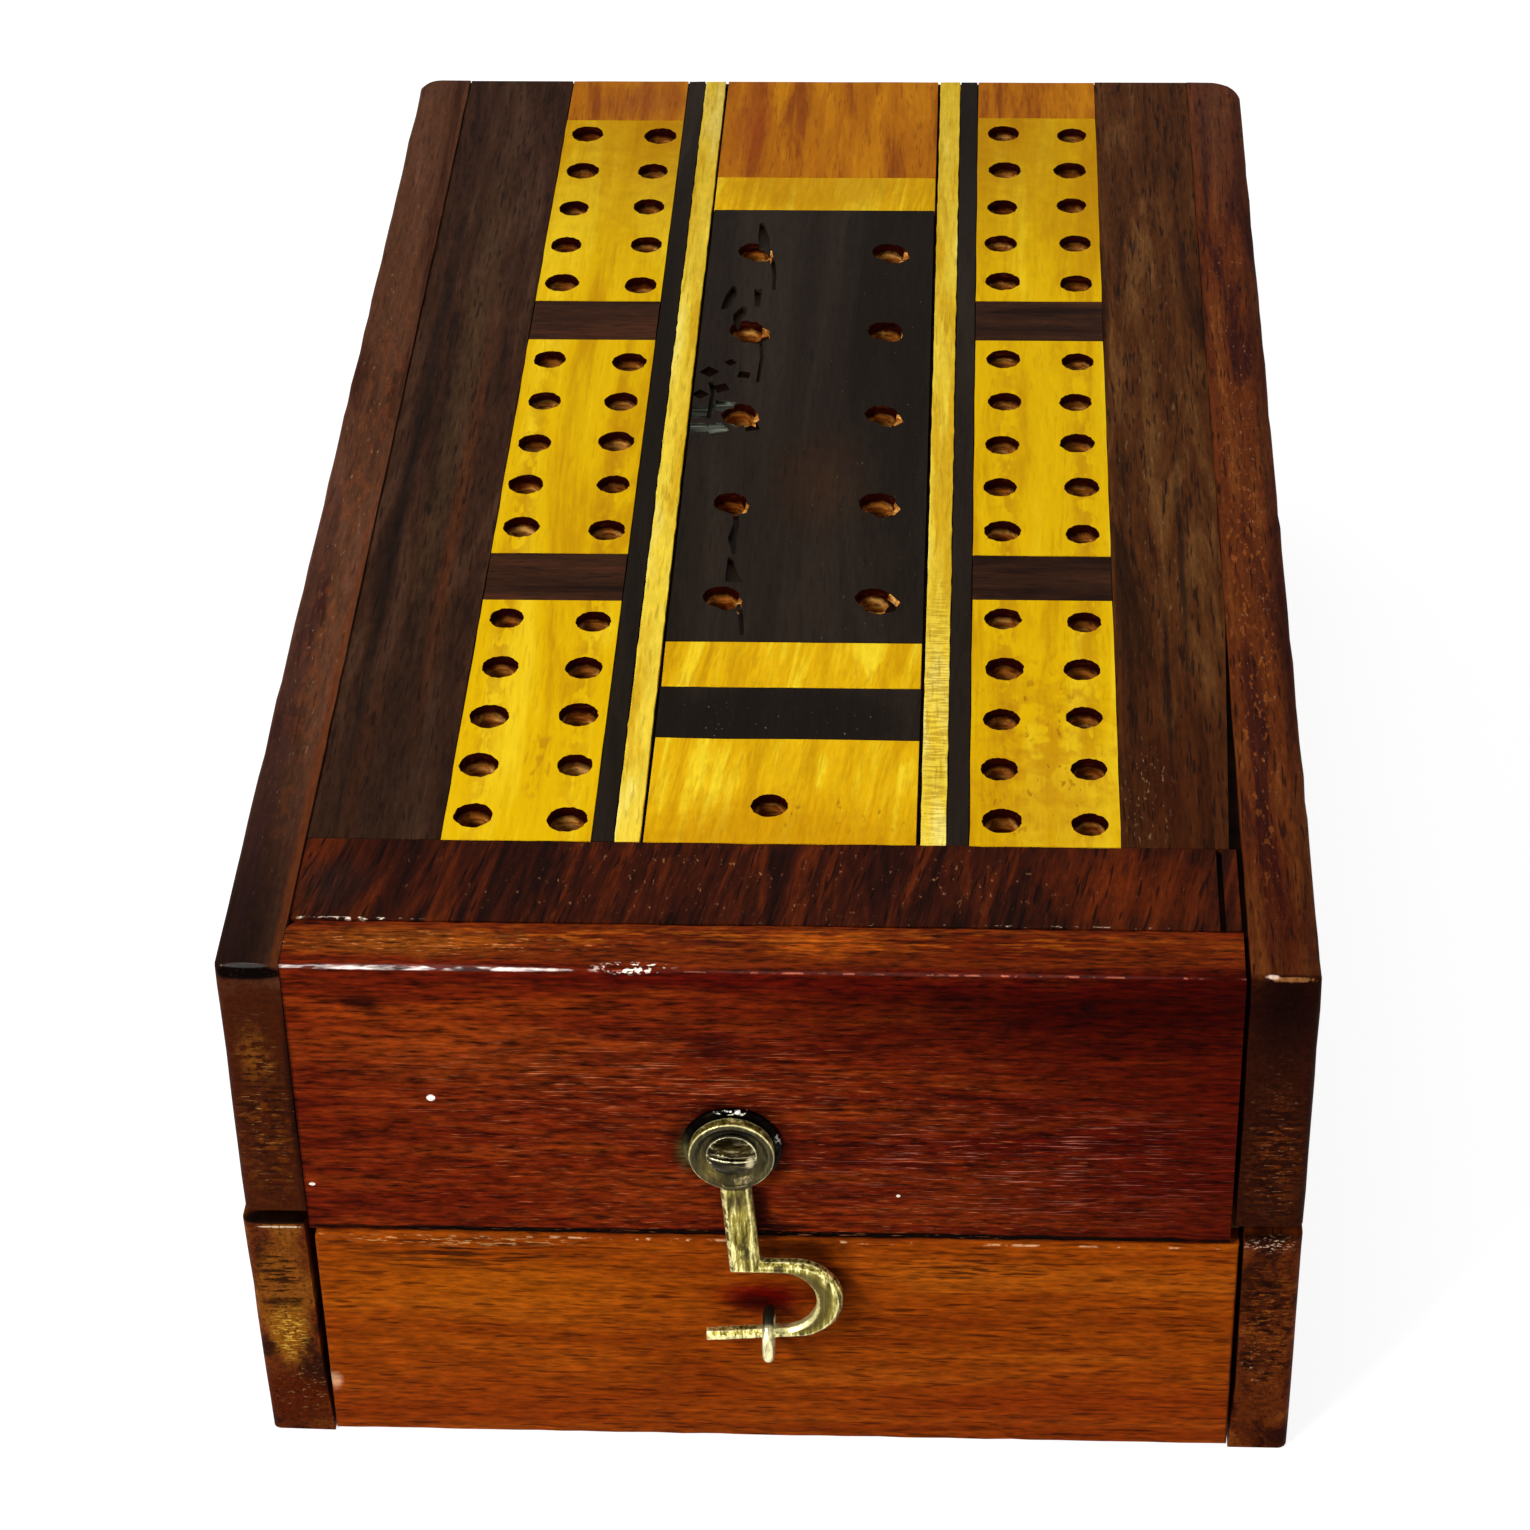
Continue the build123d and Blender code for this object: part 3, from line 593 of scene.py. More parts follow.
bored_wood = wood("bored_wood", ("6a300a", "9a5a1e", "cc9448", "3e1606"), figure=900, fibre=0.6, pores=0.6,
                  rough=0.6, marks=[
    # Painted shade: the top 2 mm of every hole wall is darkened to near black
    mark("200300", (0, 0, 59.9), (900, 900, 2.15), soft=0.4, torn=0.5)])


bit_sides = 26


def join_into(kept, *others):
    select_only(*others, kept)
    bpy.ops.object.join()


def cutter(name, places, radius, top, bottom, flare, flare_depth, roughness, seed):
    """Bits for boring: one for each place, none quite alike, each with a flared and torn mouth."""
    made = []
    chance = random.Random(seed)
    for x, y in places:
        select_none()
        bpy.ops.mesh.primitive_cylinder_add(
            vertices=bit_sides, radius=radius * chance.uniform(0.95, 1.07), depth=top - bottom,
            location=(x, y, (top + bottom) / 2), rotation=(0, 0, chance.uniform(0, 1)))
        bpy.ops.object.transform_apply(location=True, rotation=True, scale=True)
        made.append(bpy.context.object)
    join_into(*made)
    joined = made[0]
    joined.name = name
    open_edit(joined, "VERT")
    for level in (veneer_top - flare_depth, veneer_top - 0.4 * flare_depth):
        bpy.ops.mesh.select_all(action="SELECT")
        bpy.ops.mesh.bisect(plane_co=(0, 0, level), plane_no=(0, 0, 1))
    shape = bmesh.from_edit_mesh(joined.data)
    for vertex in shape.verts:
        if vertex.co.z > veneer_top - 0.5 * flare_depth:
            x, y = min(places, key=lambda one: (one[0] - vertex.co.x) ** 2 + (one[1] - vertex.co.y) ** 2)
            reach = 1 + flare * (1 if vertex.co.z > veneer_top else 0.35) * chance.uniform(0.3, 1.5)
            vertex.co.x = x + (vertex.co.x - x) * reach
            vertex.co.y = y + (vertex.co.y - y) * reach
    bmesh.update_edit_mesh(joined.data)
    bpy.ops.mesh.select_all(action="DESELECT")
    pick(joined, "verts", lambda place, normal: place.z > bottom + 0.1 * MM)
    bpy.ops.transform.vertex_random(offset=roughness, seed=seed)
    bpy.ops.object.mode_set(mode="OBJECT")
    joined.data.materials.append(bored_wood)
    joined.hide_render = True
    return joined


def cut_away(piece, tool):
    taking = piece.modifiers.new("bore", "BOOLEAN")
    taking.operation = "DIFFERENCE"
    taking.solver = "EXACT"
    taking.material_mode = "TRANSFER"
    taking.object = tool
    whole = piece.data.copy()
    apply_all(piece)
    if len(piece.data.polygons) < 0.8 * len(whole.polygons):
        piece.data = whole


top_of_bits = veneer_top + 0.6 * MM
bottom_of_bits = veneer_top - hole_depth
panel_bits = cutter("panel_bits", panel_places, hole_radius, top_of_bits, bottom_of_bits, 0.16, 0.5 * MM,
                    0.07 * MM, 5)
game_bit = cutter("game_bit", [game_place], hole_radius, top_of_bits, bottom_of_bits, 0.12, 0.5 * MM,
                  0.05 * MM, 7)
tally_bits = cutter("tally_bits", tally_places, hole_radius, top_of_bits, bottom_of_bits, 0.2, 0.6 * MM,
                    0.12 * MM, 9)
ground_low, ground_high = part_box("ground_panel")
ground = block("bored_ground_panel", ground_low, ground_high)
glue_dark = wood("glue_dark", ("080302", "120704", "1c0c06", "040201"), figure=200, fibre=0.3, rough=0.7)
ground.data.materials.append(glue_dark)
for tool in (panel_bits, game_bit, tally_bits):
    cut_away(ground, tool)
# A line of dark glue stands in the joints of the inlay along the back edge
back_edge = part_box("end_block_centre")[1].y
glue_width = 1.0 * MM
glue_inset = 0.3 * MM
glue_back = back_edge - glue_inset
glue_line = block("glue_line", (ground_low.x, glue_back - glue_width, ground_high.z - 0.1 * MM),
                  (ground_high.x, glue_back, veneer_top - 0.2 * MM))
glue_line.data.materials.append(glue_dark)
join_into(ground, glue_line)
back_finish_reach = 1.4 * MM
ground.data.materials.append(back_wood)
for face in ground.data.polygons:
    if face.normal.y > 0.9 and face.center.y > ground_high.y - back_finish_reach:
        face.material_index = len(ground.data.materials) - 1
finish_piece(ground, glue_dark, "case", ["ground_panel"])

# ---- The inlay ----
# Thin veneers glued to the ground panel: dark rosewood borders, crossband and spacers, yellow satinwood
# panels and stringing, black ebony stripes and centre panel, and orange tulipwood blocks at the back.
inlay_face = 59.4  # in millimetres, as all marks are


def on_top(code, centre, reach, **finish):
    """A mark on the inlay's face, by x and y."""
    return mark(code, (*centre, inlay_face), (*reach, 1), **finish)


rosewood_left = wood("rosewood_left", ("22130b", "321c10", "40281a", "140a06"), turn=90, figure=240,
                     fibre=0.45, pores=0.7, marks=[
    on_top("52280f", (-35.6, -10), (1.2, 60), torn=0.9, soft=0.9, amount=0.5),
    on_top("4a2410", (-40.2, -55), (1.6, 24), torn=0.9, soft=0.9, amount=0.5),
    on_top("24150c", (-38, -60), (9, 40), torn=0.5, soft=1.0, amount=0.7),
    on_top("4a3420", (-37.5, 20), (2.5, 70), torn=0.9, soft=0.9, amount=0.5),
    on_top("120b07", (-41.5, 0), (1.2, 100), torn=0.9, soft=0.9, amount=0.7)])
rosewood_right = wood("rosewood_right", ("281306", "46240c", "5e3a1a", "160904"), turn=90, figure=280,
                      fibre=0.45, pores=0.8, marks=[
    on_top("3a1605", (38, -60), (9, 40), torn=0.5, soft=1.0, amount=0.7),
    on_top("1a0c06", (37.5, -40), (0.5, 22), torn=0.7, soft=0.8, amount=0.8),
    on_top("1a0c06", (39.6, -20), (0.6, 30), torn=0.9, soft=0.8, amount=0.8),
    on_top("c09068", (35, -58), (3, 12), speck=(0.25, 1.1, 0.4), cutoff=0.67, amount=0.4),
    on_top("8a6a44", (37, 10), (5, 70), speck=(0.3, 2.4, 0.4), cutoff=0.68, amount=0.35)])
crossband_wood = wood("crossband_wood", ("180704", "300f05", "4e1c06", "0c0302"), turn=80, figure=420,
                      fibre=0.5, pores=0.8, marks=[
    on_top("642406", (33, -72), (12, 9), torn=0.6, soft=1.0, amount=0.55),
    on_top("1c1410", (-41, -73), (5, 6), torn=0.8, soft=0.9, amount=0.6),
    on_top("b07850", (0, -72), (45, 7), speck=(0.4, 1.0, 0.4), cutoff=0.71, amount=0.45),
    mark("e8d4bc", (-39, -77.95, 59.4), (8, 0.25, 0.5), speck=(0.8, 0.5, 0.5), cutoff=0.58, torn=0.6),
    mark("c8a888", (20, -77.95, 59.4), (26, 0.2, 0.5), speck=(1.0, 0.5, 0.5), cutoff=0.64, torn=0.6,
         amount=0.8)])
spacer_wood = wood("spacer_wood", ("1e0e08", "301a0e", "442414", "120804"), figure=200, fibre=0.4,
                   pores=0.6)
satinwood = wood("satinwood", ("c49002", "dcae02", "eac41a", "b07c06"), turn=90, fibre=0.07, pores=0.25,
                 rough=0.42, bump=0.12, marks=[
    # Painted shade: the panels darken towards the back, where less light reaches
    on_top("a46a02", (0, 72), (60, 44), soft=1.0, amount=0.95),
    on_top("b87c06", (25.7, -60), (12, 18), torn=0.6, soft=1.0, amount=0.6),
    on_top("b87c08", (25.3, -50), (9, 20), torn=1.6, soft=1.0, amount=0.6, speck=(2.5, 3.5, 2),
           cutoff=0.48),
    on_top("8a4c06", (24.5, -52), (8, 20), torn=0.5, speck=(0.8, 1.8, 1), cutoff=0.66, amount=0.6),
    on_top("a86a0c", (-23, -54), (2, 8), torn=1.2, speck=(0.9, 3, 1), cutoff=0.6, amount=0.5)
] + [
    on_top("a86c08", (column, -22), (1.9, 76), torn=0.9, soft=0.9, speck=(1.2, 3.2, 1), cutoff=0.47,
           amount=0.5) for column in (-28.7, -19.9, 21.7, 29.8)])
band_wood = wood("band_wood", ("ca9604", "dcaa08", "ecca24", "b88410"), turn=84, figure=380, fibre=0.14,
                 pores=0.35, rough=0.42, bump=0.2, marks=[
    # Painted shade: darker towards the back, where less light reaches
    on_top("b88006", (0, 60), (16, 10), amount=0.75),
    on_top("c08402", (0, -71), (18, 16), torn=0.5, soft=0.5, amount=0.7),
    on_top("8a5206", (6, -62), (9, 4), speck=(0.8, 1.4, 1), cutoff=0.68, amount=0.7)])
string_wood = wood("string_wood", ("d0a41c", "e8c83a", "f4e070", "b08a14"), turn=90, figure=260, fibre=0.16,
                   rough=0.42, bump=0.3, marks=[
    # Painted shade: darker towards the back, where less light reaches
    on_top("b08412", (0, 80), (30, 74), soft=1.0, amount=0.85),
    on_top("a87a12", (15, -45), (2, 30), speck=(2.2, 0.32, 0.5), cutoff=0.52, amount=0.6, rise=-2)])
ebony = wood("ebony", ("17110b", "1f1711", "281f17", "0c0805"), turn=90, figure=90, fibre=0.2, pores=0.3,
             rough=0.42, bump=0.15, marks=[
    on_top("140e09", (0, -47), (14, 8), soft=0.4, torn=0.3, amount=0.8),
    on_top("3a2210", (2, -4), (7, 14), soft=1.0, torn=0.8, amount=0.5),
    on_top("7a8078", (9, 0), (14, 60), speck=(0.2, 0.9, 0.3), cutoff=0.75, amount=0.6),
    on_top("b0a890", (0, -47), (14, 8), speck=(0.3, 0.7, 0.3), cutoff=0.74, amount=0.6)])
tulipwood = wood("tulipwood", ("86430f", "a8620c", "bc760c", "6e3208"), turn=90, figure=300, fibre=0.14,
                 pores=0.4, rough=0.45, marks=[
    on_top("8c3f12", (-9, 75), (3.5, 20), torn=0.7, soft=0.9, amount=0.7),
    on_top("8a451a", (-22, 80), (10, 8), torn=0.7, soft=0.9, amount=0.6)])


def veneer(name, material, ragged=0.05, step=3.0, tools=(), seed=1, slack_x=0.05):
    """A piece of inlay, a hair smaller than its place, with hand-cut edges softened by wear."""
    low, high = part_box(name)
    slack = Vector((slack_x, 0.05, 0)) * MM
    piece = block("cut_" + name, low + slack, high - slack)
    long_axis = 0 if high.x - low.x > high.y - low.y else 1
    slice_across(piece, long_axis, step * MM, seed)
    open_edit(piece, "VERT")
    pick(piece, "verts", lambda place, normal: place.z > high.z - 1e-5)
    bpy.ops.transform.vertex_random(offset=ragged * MM, seed=seed)
    pick(piece, "verts", lambda place, normal: place.z > high.z - 0.3 * MM)
    for vertex in (one for one in bmesh.from_edit_mesh(piece.data).verts if one.select):
        vertex.co.z = high.z
    bmesh.update_edit_mesh(piece.data)
    bpy.ops.object.mode_set(mode="OBJECT")
    piece.data.materials.append(material)
    for tool in tools:
        cut_away(piece, tool)
    soft = piece.modifiers.new("soft", "BEVEL")
    soft.width = 0.07 * MM
    soft.segments = 2
    soft.limit_method = "ANGLE"
    soft.angle_limit = math.radians(50)
    apply_all(piece)
    finish_piece(piece, material, "case", [name])
    for face in piece.data.polygons:
        face.use_smooth = face.normal.z < 0.999
    return piece


veneer("border_left", rosewood_left, 0.06)
veneer("front_crossband", crossband_wood, 0.1, 2.2, seed=3)
veneer("crossband_filler", crossband_wood, 0.08, 2.0, seed=5)
dress("border_right", rosewood_right)
for seed, name in enumerate(("spacer_left_front", "spacer_left_middle", "spacer_right_front",
                             "spacer_right_middle")):
    veneer(name, spacer_wood, seed=seed)
for seed, side in enumerate(("left", "right")):
    veneer("stripe_" + side, ebony, 0.06, seed=seed)
    veneer("stringing_" + side, string_wood, 0.09, 1.4, seed=seed + 4)
    veneer("end_block_" + side, tulipwood, seed=seed)
    for part in ("front", "middle", "rear"):
        veneer(f"panel_{side}_{part}", satinwood, 0.05, tools=[panel_bits], seed=seed + 9)
veneer("game_hole_block", band_wood, 0.1, tools=[game_bit], seed=2, slack_x=0.14)
veneer("centre_band_black", ebony, 0.07, seed=3, slack_x=0.1)
veneer("centre_band_front", band_wood, 0.08, seed=4, slack_x=0.12)
veneer("centre_band_rear", band_wood, 0.05, seed=5)
veneer("end_block_centre", tulipwood, seed=6)

# ---- Ebony panel for the games won ----
# One thin panel of ebony with ten holes. It has split along its grain, lost chips round its holes, and
# flaked away in one place.
chip_floor = wood("chip_floor", ("141410", "34362e", "62665a", "0c0a08"), figure=1300, fibre=0.8, rough=0.4)
chip_wood = wood("chip_wood", ("7a3a0c", "b8762c", "e8b868", "3a1606"), figure=1400, fibre=0.8)


def crack(name, points, depth):
    """A blade along a run of (x, y, width) points in millimetres, to open a crack with."""
    points = sorted(points, key=lambda point: point[1])
    x, y, width = points[0]
    blade = block(name, ((x - width / 2) * MM, y * MM, veneer_top - depth),
                  ((x + width / 2) * MM, (y + 0.1) * MM, veneer_top + depth))
    open_edit(blade, "FACE")
    for first, second in zip(points, points[1:]):
        pick(blade, "faces", lambda middle, normal: normal.y > 0.9)
        step = ((second[0] - first[0]) * MM, (second[1] - first[1]) * MM, 0)
        bpy.ops.mesh.extrude_region_move(TRANSFORM_OT_translate={"value": step})
        bpy.ops.transform.resize(value=(second[2] / first[2], 1, 1),
                                 center_override=(second[0] * MM, second[1] * MM, veneer_top))
    bpy.ops.object.mode_set(mode="OBJECT")
    return blade


crack_runs = [
    [(-5.9, 43.5, 1.2), (-6.2, 47, 1.3), (-6.6, 50.4, 0.5)],
    [(-4.5, 35.2, 0.35), (-4.6, 38.5, 0.45), (-5.0, 42.2, 0.6)],
    [(-9.9, 31.0, 0.8), (-9.3, 33.7, 1.3), (-9.0, 36.0, 0.5)],
    [(-8.4, 27.8, 0.6), (-8.1, 29.8, 1.5), (-7.6, 31.5, 0.6)],
    [(-6.2, 31.6, 0.6), (-6.3, 35.4, 0.9)],
    [(-5.4, 15.5, 0.4), (-5.2, 20.5, 0.35), (-5.6, 25.7, 0.4)],
    [(-10.4, 8.0, 0.5), (-10.2, 13.0, 0.4), (-10.5, 15.5, 0.6)],
    [(-6.7, -8.2, 0.7), (-6.3, -12.5, 0.6), (-6.6, -15, 0.9), (-6.3, -18, 0.35)],
    [(-6.6, -18.6, 0.5), (-6.3, -21.5, 1.2), (-6.0, -23, 1.8)],
    [(-5.6, -26.2, 0.9), (-5.0, -29, 0.5), (-4.7, -32.4, 0.4)],
]
crack_depth = 0.75 * MM
blades = [crack(f"crack_{index}", run, crack_depth) for index, run in enumerate(crack_runs)]


def chips(name, places, low_size, high_size, depth, tilt, seed, material, sides=7):
    """Shallow broken scoops, one at each (x, y) in metres."""
    chance = random.Random(seed)
    made = []
    for x, y in places:
        select_none()
        bpy.ops.mesh.primitive_cylinder_add(
            vertices=sides, radius=chance.uniform(low_size, high_size) * MM, depth=2 * depth,
            location=(x, y, veneer_top), rotation=(chance.uniform(-tilt, tilt), chance.uniform(-tilt, tilt),
                                                   chance.uniform(0, 3)))
        bpy.ops.object.transform_apply(location=True, rotation=True, scale=True)
        piece = bpy.context.object
        open_edit(piece, "VERT")
        bpy.ops.mesh.select_all(action="SELECT")
        bpy.ops.transform.vertex_random(offset=0.4 * depth, seed=chance.randrange(99))
        bpy.ops.object.mode_set(mode="OBJECT")
        piece.name = name
        piece.data.materials.append(material)
        made.append(piece)
    return made


shelf_places = [(x + 0.8 * MM, y - 1.0 * MM) for x, y in tally_places]
shelves = chips("shelf", shelf_places, 1.4, 2.0, 0.8 * MM, 0.3, 31, chip_wood)
flake_places = [(x * MM, y * MM) for x, y in (
    (-11.4, 6.2), (-9.4, 6.0), (-7.2, 7.6), (-11.2, 9.4), (-9.0, 10.6), (-5.6, 6.4), (-11.6, 13.0),
    (-9.3, 14.2), (-7.0, 17.0), (-10.8, 17.6), (-8.6, 19.6))]
flakes = chips("flake", flake_places[:5], 0.9, 1.6, 0.28 * MM, 0.12, 33, chip_floor, sides=4)
flakes += chips("split", flake_places[5:], 0.7, 1.3, 0.45 * MM, 0.1, 35, glue_dark, sides=4)
veneer("tally_panel", ebony, 0.05, tools=[tally_bits] + blades + shelves + flakes, seed=7,
       slack_x=0.1)
for tool in (*shelves, *flakes, *blades, panel_bits, game_bit, tally_bits):
    bpy.data.objects.remove(tool)

# ---- Upper front board and its brads ----
# A red-varnished mahogany board glued between the side boards' ends and nailed to the ground panel with
# two sunk brads. Its top edge is rubbed bare, and the varnish lies in a thick glossy bead along its arris.
front_face = -85.3  # in millimetres


def on_front(code, centre, reach, **finish):
    """A mark on a front board's face, by x and z."""
    return mark(code, (centre[0], front_face, centre[1]), (reach[0], 3, reach[1]), **finish)


upper_mahogany = wood("upper_mahogany", ("440d03", "5c1904", "702806", "240502"), figure=300, fibre=0.95,
                      pores=0.6, bump=0.2, marks=[
    on_front("380401", (56, 46), (64, 40), soft=0.9, torn=0.5, amount=0.82),
    on_front("280200", (34, 56), (46, 8), soft=0.9, torn=0.6, amount=0.9),
    on_front("440802", (40, 34), (48, 14), soft=0.9, torn=0.5, amount=0.6),
    on_front("500f02", (-30, 33), (30, 6), soft=1.0, torn=0.5, amount=0.6),
    on_front("7e340a", (-26, 49), (24, 6), soft=1.0, torn=0.9, amount=0.5),
    on_front("3a0a04", (0, 44), (44, 16), soft=0.8, speck=(9, 1, 0.7), cutoff=0.56, amount=0.6),
    # Painted shadow of the hook: along the right of its arm, by its elbow, and round its collar
    on_front("140301", (-1.2, 30.4), (1.5, 4.4), soft=0.8, torn=0.3, amount=0.85),
    on_front("140301", (0.4, 28.2), (2.4, 2.0), soft=0.8, torn=0.3, amount=0.8),
    on_front("200301", (-3.4, 39.2), (6.9, 6.6), soft=0.5, torn=0.3, amount=0.9),
    on_front("4a4624", (-7.9, 37.8), (1.2, 3.4), soft=1.0, torn=0.8, amount=0.75),
    on_front("060100", (0, 27.6), (70, 0.5), soft=0.5, torn=0.5),
    on_front("0c0201", (44.3, 44), (0.7, 40), soft=0.5, torn=0.3, amount=0.95),
    on_front("1a0402", (-44.2, 44), (0.6, 40), amount=0.8),
    on_front("1e0301", (16.8, 57.0), (4, 0.9), soft=0.9, torn=0.8, amount=0.8),
    mark("400402", (0, -85.3, 58.6), (60, 2, 2.4), soft=0.9, torn=0.5, amount=0.85),
    mark("2c0603", (-5, -85.3, 51), (4, 2, 2.4), soft=1.0, torn=1.0, amount=0.8),
    mark("c87a50", (-14, -85.3, 46), (32, 2, 9), soft=0.8, speck=(4.6, 1, 0.13), cutoff=0.66, amount=0.5),
    mark("c47a68", (24, -85.3, 37), (26, 2, 10), soft=0.8, speck=(5.2, 1, 0.13), cutoff=0.65, amount=0.5),
    mark("a05a34", (0, -85.3, 36), (48, 2, 20), speck=(2.0, 1, 0.13), cutoff=0.67, amount=0.7),
    mark("2a0802", (-36.5, -85.3, 55.4), (2.8, 1, 2.0), soft=0.9, torn=0.9, amount=0.9),
    mark("1a0302", (29.3, -85.3, 55.7), (1.3, 1, 1.4), soft=0.8, torn=0.8, amount=0.95),
    mark("1a0302", (22, -85.3, 53.4), (0.7, 1, 0.6), soft=0.8, torn=0.8, amount=0.7),
    mark("fff4e8", (-31.2, -85.3, 44), (0.45, 1, 0.45), soft=0.3, torn=0.1),
    mark("f0d8c8", (12, -85.3, 32.7), (0.22, 1, 0.22), soft=0.3, torn=0.1),
    mark("f0d8c8", (-43.2, -85.3, 33), (0.35, 1, 0.25), soft=0.3, torn=0.3),
    mark("5e2004", (0, -81.4, 59.7), (70, 3.4, 1.2), soft=0.25, torn=0.2, amount=0.95),
    mark("7a3c0c", (-33, -81.6, 59.7), (16, 2.8, 0.6), soft=0.8, torn=1.0, amount=0.8),
    mark("4c1001", (22, -81.6, 59.7), (12, 2.8, 0.6), soft=0.8, torn=0.6, amount=0.7),
    mark("a0480c", (5, -81.2, 59.7), (8, 2.6, 0.6), soft=0.9, torn=1.2, amount=0.8),
    mark("9a4a0c", (0, -80.6, 59.7), (60, 2.4, 0.6), soft=0.8, speck=(4.0, 0.6, 1), cutoff=0.54,
         amount=0.7),
    mark("3a1006", (-5, -81.2, 59.7), (5, 1.0, 0.6), soft=0.8, torn=1.0, amount=0.8),
    mark("c88048", (-30, -81.5, 59.7), (24, 2.6, 0.6), soft=0.8, speck=(1.2, 0.25, 1), cutoff=0.64,
         amount=0.6),
    mark("3c1004", (0, -81.5, 59.7), (60, 3, 0.6), speck=(3.5, 0.3, 1), cutoff=0.6, amount=0.6),
    mark("f6e6d6", (-12, -84.7, 59.5), (4.5, 0.8, 0.6), speck=(0.6, 0.4, 0.5), cutoff=0.58, torn=0.8),
    # Painted highlight: pale lines along the arris, where the varnish bead catches the light
    mark("f8e4dc", (-32, -85.1, 59.5), (20, 0.26, 0.26), soft=0.5, torn=0.6, speck=(4, 1, 1), cutoff=0.45,
         amount=0.9),
    mark("c06a50", (15, -85.1, 59.5), (40, 0.12, 0.16), torn=0.8, speck=(1.2, 1, 1), cutoff=0.54,
         amount=0.6),
    mark("", (-32, -85.05, 59.5), (18, 0.36, 0.36), soft=0.5, torn=0.2, rough=0.2, coat=0.8),
    mark("", (14, -85.05, 59.5), (34, 0.22, 0.22), soft=0.5, torn=0.5, rough=0.25, coat=0.35)])
low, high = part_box("upper_front")
upper_front = block("worn_upper_front", low, high)
round_edges(upper_front, lambda middle, along: abs(along.z) > 0.9 and middle.x < low.x + 1e-5
            and middle.y > high.y - 1e-5, 1.6 * MM, 5)
round_edges(upper_front, lambda middle, along: middle.z > high.z - 1e-5 and middle.y < low.y + 1e-5,
            0.65 * MM, 5)
slice_across(upper_front, 0, 1.6 * MM, 12)
wear_edges(upper_front, low, high, 0.3 * MM, 1.6 * MM, 1.0 * MM)
finish_piece(upper_front, upper_mahogany, "case", ["upper_front"])
iron = wood("rusty_iron", ("0c0806", "1c100a", "30180c", "080504"), figure=400, rough=0.7)
low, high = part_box("front_brads")
brad_size = high.z - low.z
brad_sunk = 0.5 * MM
brad_taper = 0.4
brad_pair = []
for left in (low.x, high.x - brad_size):
    piece = block("sunk_brad", (left, low.y + brad_sunk, low.z), (left + brad_size, high.y, high.z))
    open_edit(piece, "FACE")
    pick(piece, "faces", lambda middle, normal: normal.y > 0.9)
    tip = (left + brad_size / 2, high.y, (low.z + high.z) / 2)
    bpy.ops.transform.resize(value=(brad_taper, 1, brad_taper), center_override=tip)
    bpy.ops.object.mode_set(mode="OBJECT")
    brad_pair.append(piece)
join_into(*brad_pair)
finish_piece(brad_pair[0], iron, "case", ["front_brads"])

# ---- Drawer ----
# A box of pine boards with a varnished mahogany front that laps their ends. It slides out towards the
# player. Its front is rubbed pale along the top, and is less red than the board above it.
drawer_mahogany = wood("drawer_mahogany", ("702a03", "823704", "924508", "3a1002"), figure=220, fibre=0.6,
                       pores=0.7, bump=0.2, marks=[
    on_front("964a05", (-26, 20), (26, 6), soft=1.0, torn=0.8, amount=0.6),
    on_front("7c2804", (30, 5), (44, 9), soft=1.0, torn=0.6, amount=0.6),
    on_front("822f04", (-30, 4), (44, 8), soft=1.0, torn=0.6, amount=0.6),
    on_front("2c1004", (-28, 24.5), (18, 3.2), soft=0.8, speck=(5, 1, 0.3), cutoff=0.55, amount=0.85),
    on_front("2c1004", (18, 23.5), (14, 3), soft=0.8, speck=(3, 1, 0.3), cutoff=0.57, amount=0.8),
    on_front("3c1404", (0, 14), (44, 12), soft=0.8, speck=(2.4, 1, 0.2), cutoff=0.65, amount=0.6),
    # Round the hook's curl: a dark red stain inside it, and painted shadow of the curl inside, above and
    # right of it
    on_front("5a0502", (-0.9, 19.2), (6.6, 3.2), soft=0.8, torn=0.3),
    on_front("180300", (-1.4, 18.6), (4.4, 1.7), soft=0.9, torn=0.5, amount=0.8),
    on_front("180300", (3.0, 25.5), (5.6, 2.6), soft=0.8, torn=0.5, amount=0.85),
    on_front("200400", (5.3, 21.6), (3.4, 5.6), soft=0.9, torn=0.5, amount=0.75),
    on_front("060100", (0, 27.5), (70, 0.5), soft=0.5, torn=0.5),
    on_front("0c0201", (44.4, 14), (0.7, 30), torn=0.3, amount=0.9),
    on_front("140301", (-43.9, 16), (0.5, 12), amount=0.9),
    mark("d0a070", (0, -85.2, 26.6), (60, 0.6, 0.22), soft=0.7, torn=0.6, speck=(1.4, 1, 1), cutoff=0.6,
         amount=0.75),
    mark("c89a60", (-30, -85.2, 26.0), (16, 0.6, 0.9), soft=0.7, speck=(1.2, 1, 0.2), cutoff=0.6,
         amount=0.7),
    mark("d8a880", (-43.2, -85.2, 7.0), (0.9, 1, 1.5), soft=0.9, torn=1.8, amount=0.55)])
low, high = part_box("drawer_front")
drawer_front = block("worn_drawer_front", low, high)
round_edges(drawer_front, lambda middle, along: abs(along.y) > 0.9 and middle.x < low.x + 1e-5
            and middle.z > high.z - 1e-5, 1.0 * MM, 4)
round_edges(drawer_front, lambda middle, along: middle.y < low.y + 1e-5, 0.3 * MM, 3)
slice_across(drawer_front, 0, 2.2 * MM, 21)
wear_edges(drawer_front, low, high, 0.22 * MM, 1.8 * MM, 1.0 * MM)
finish_piece(drawer_front, drawer_mahogany, "drawer", ["drawer_front"])
for name in ("drawer_side_left", "drawer_side_right", "drawer_back", "drawer_bottom"):
    dress(name, pine)

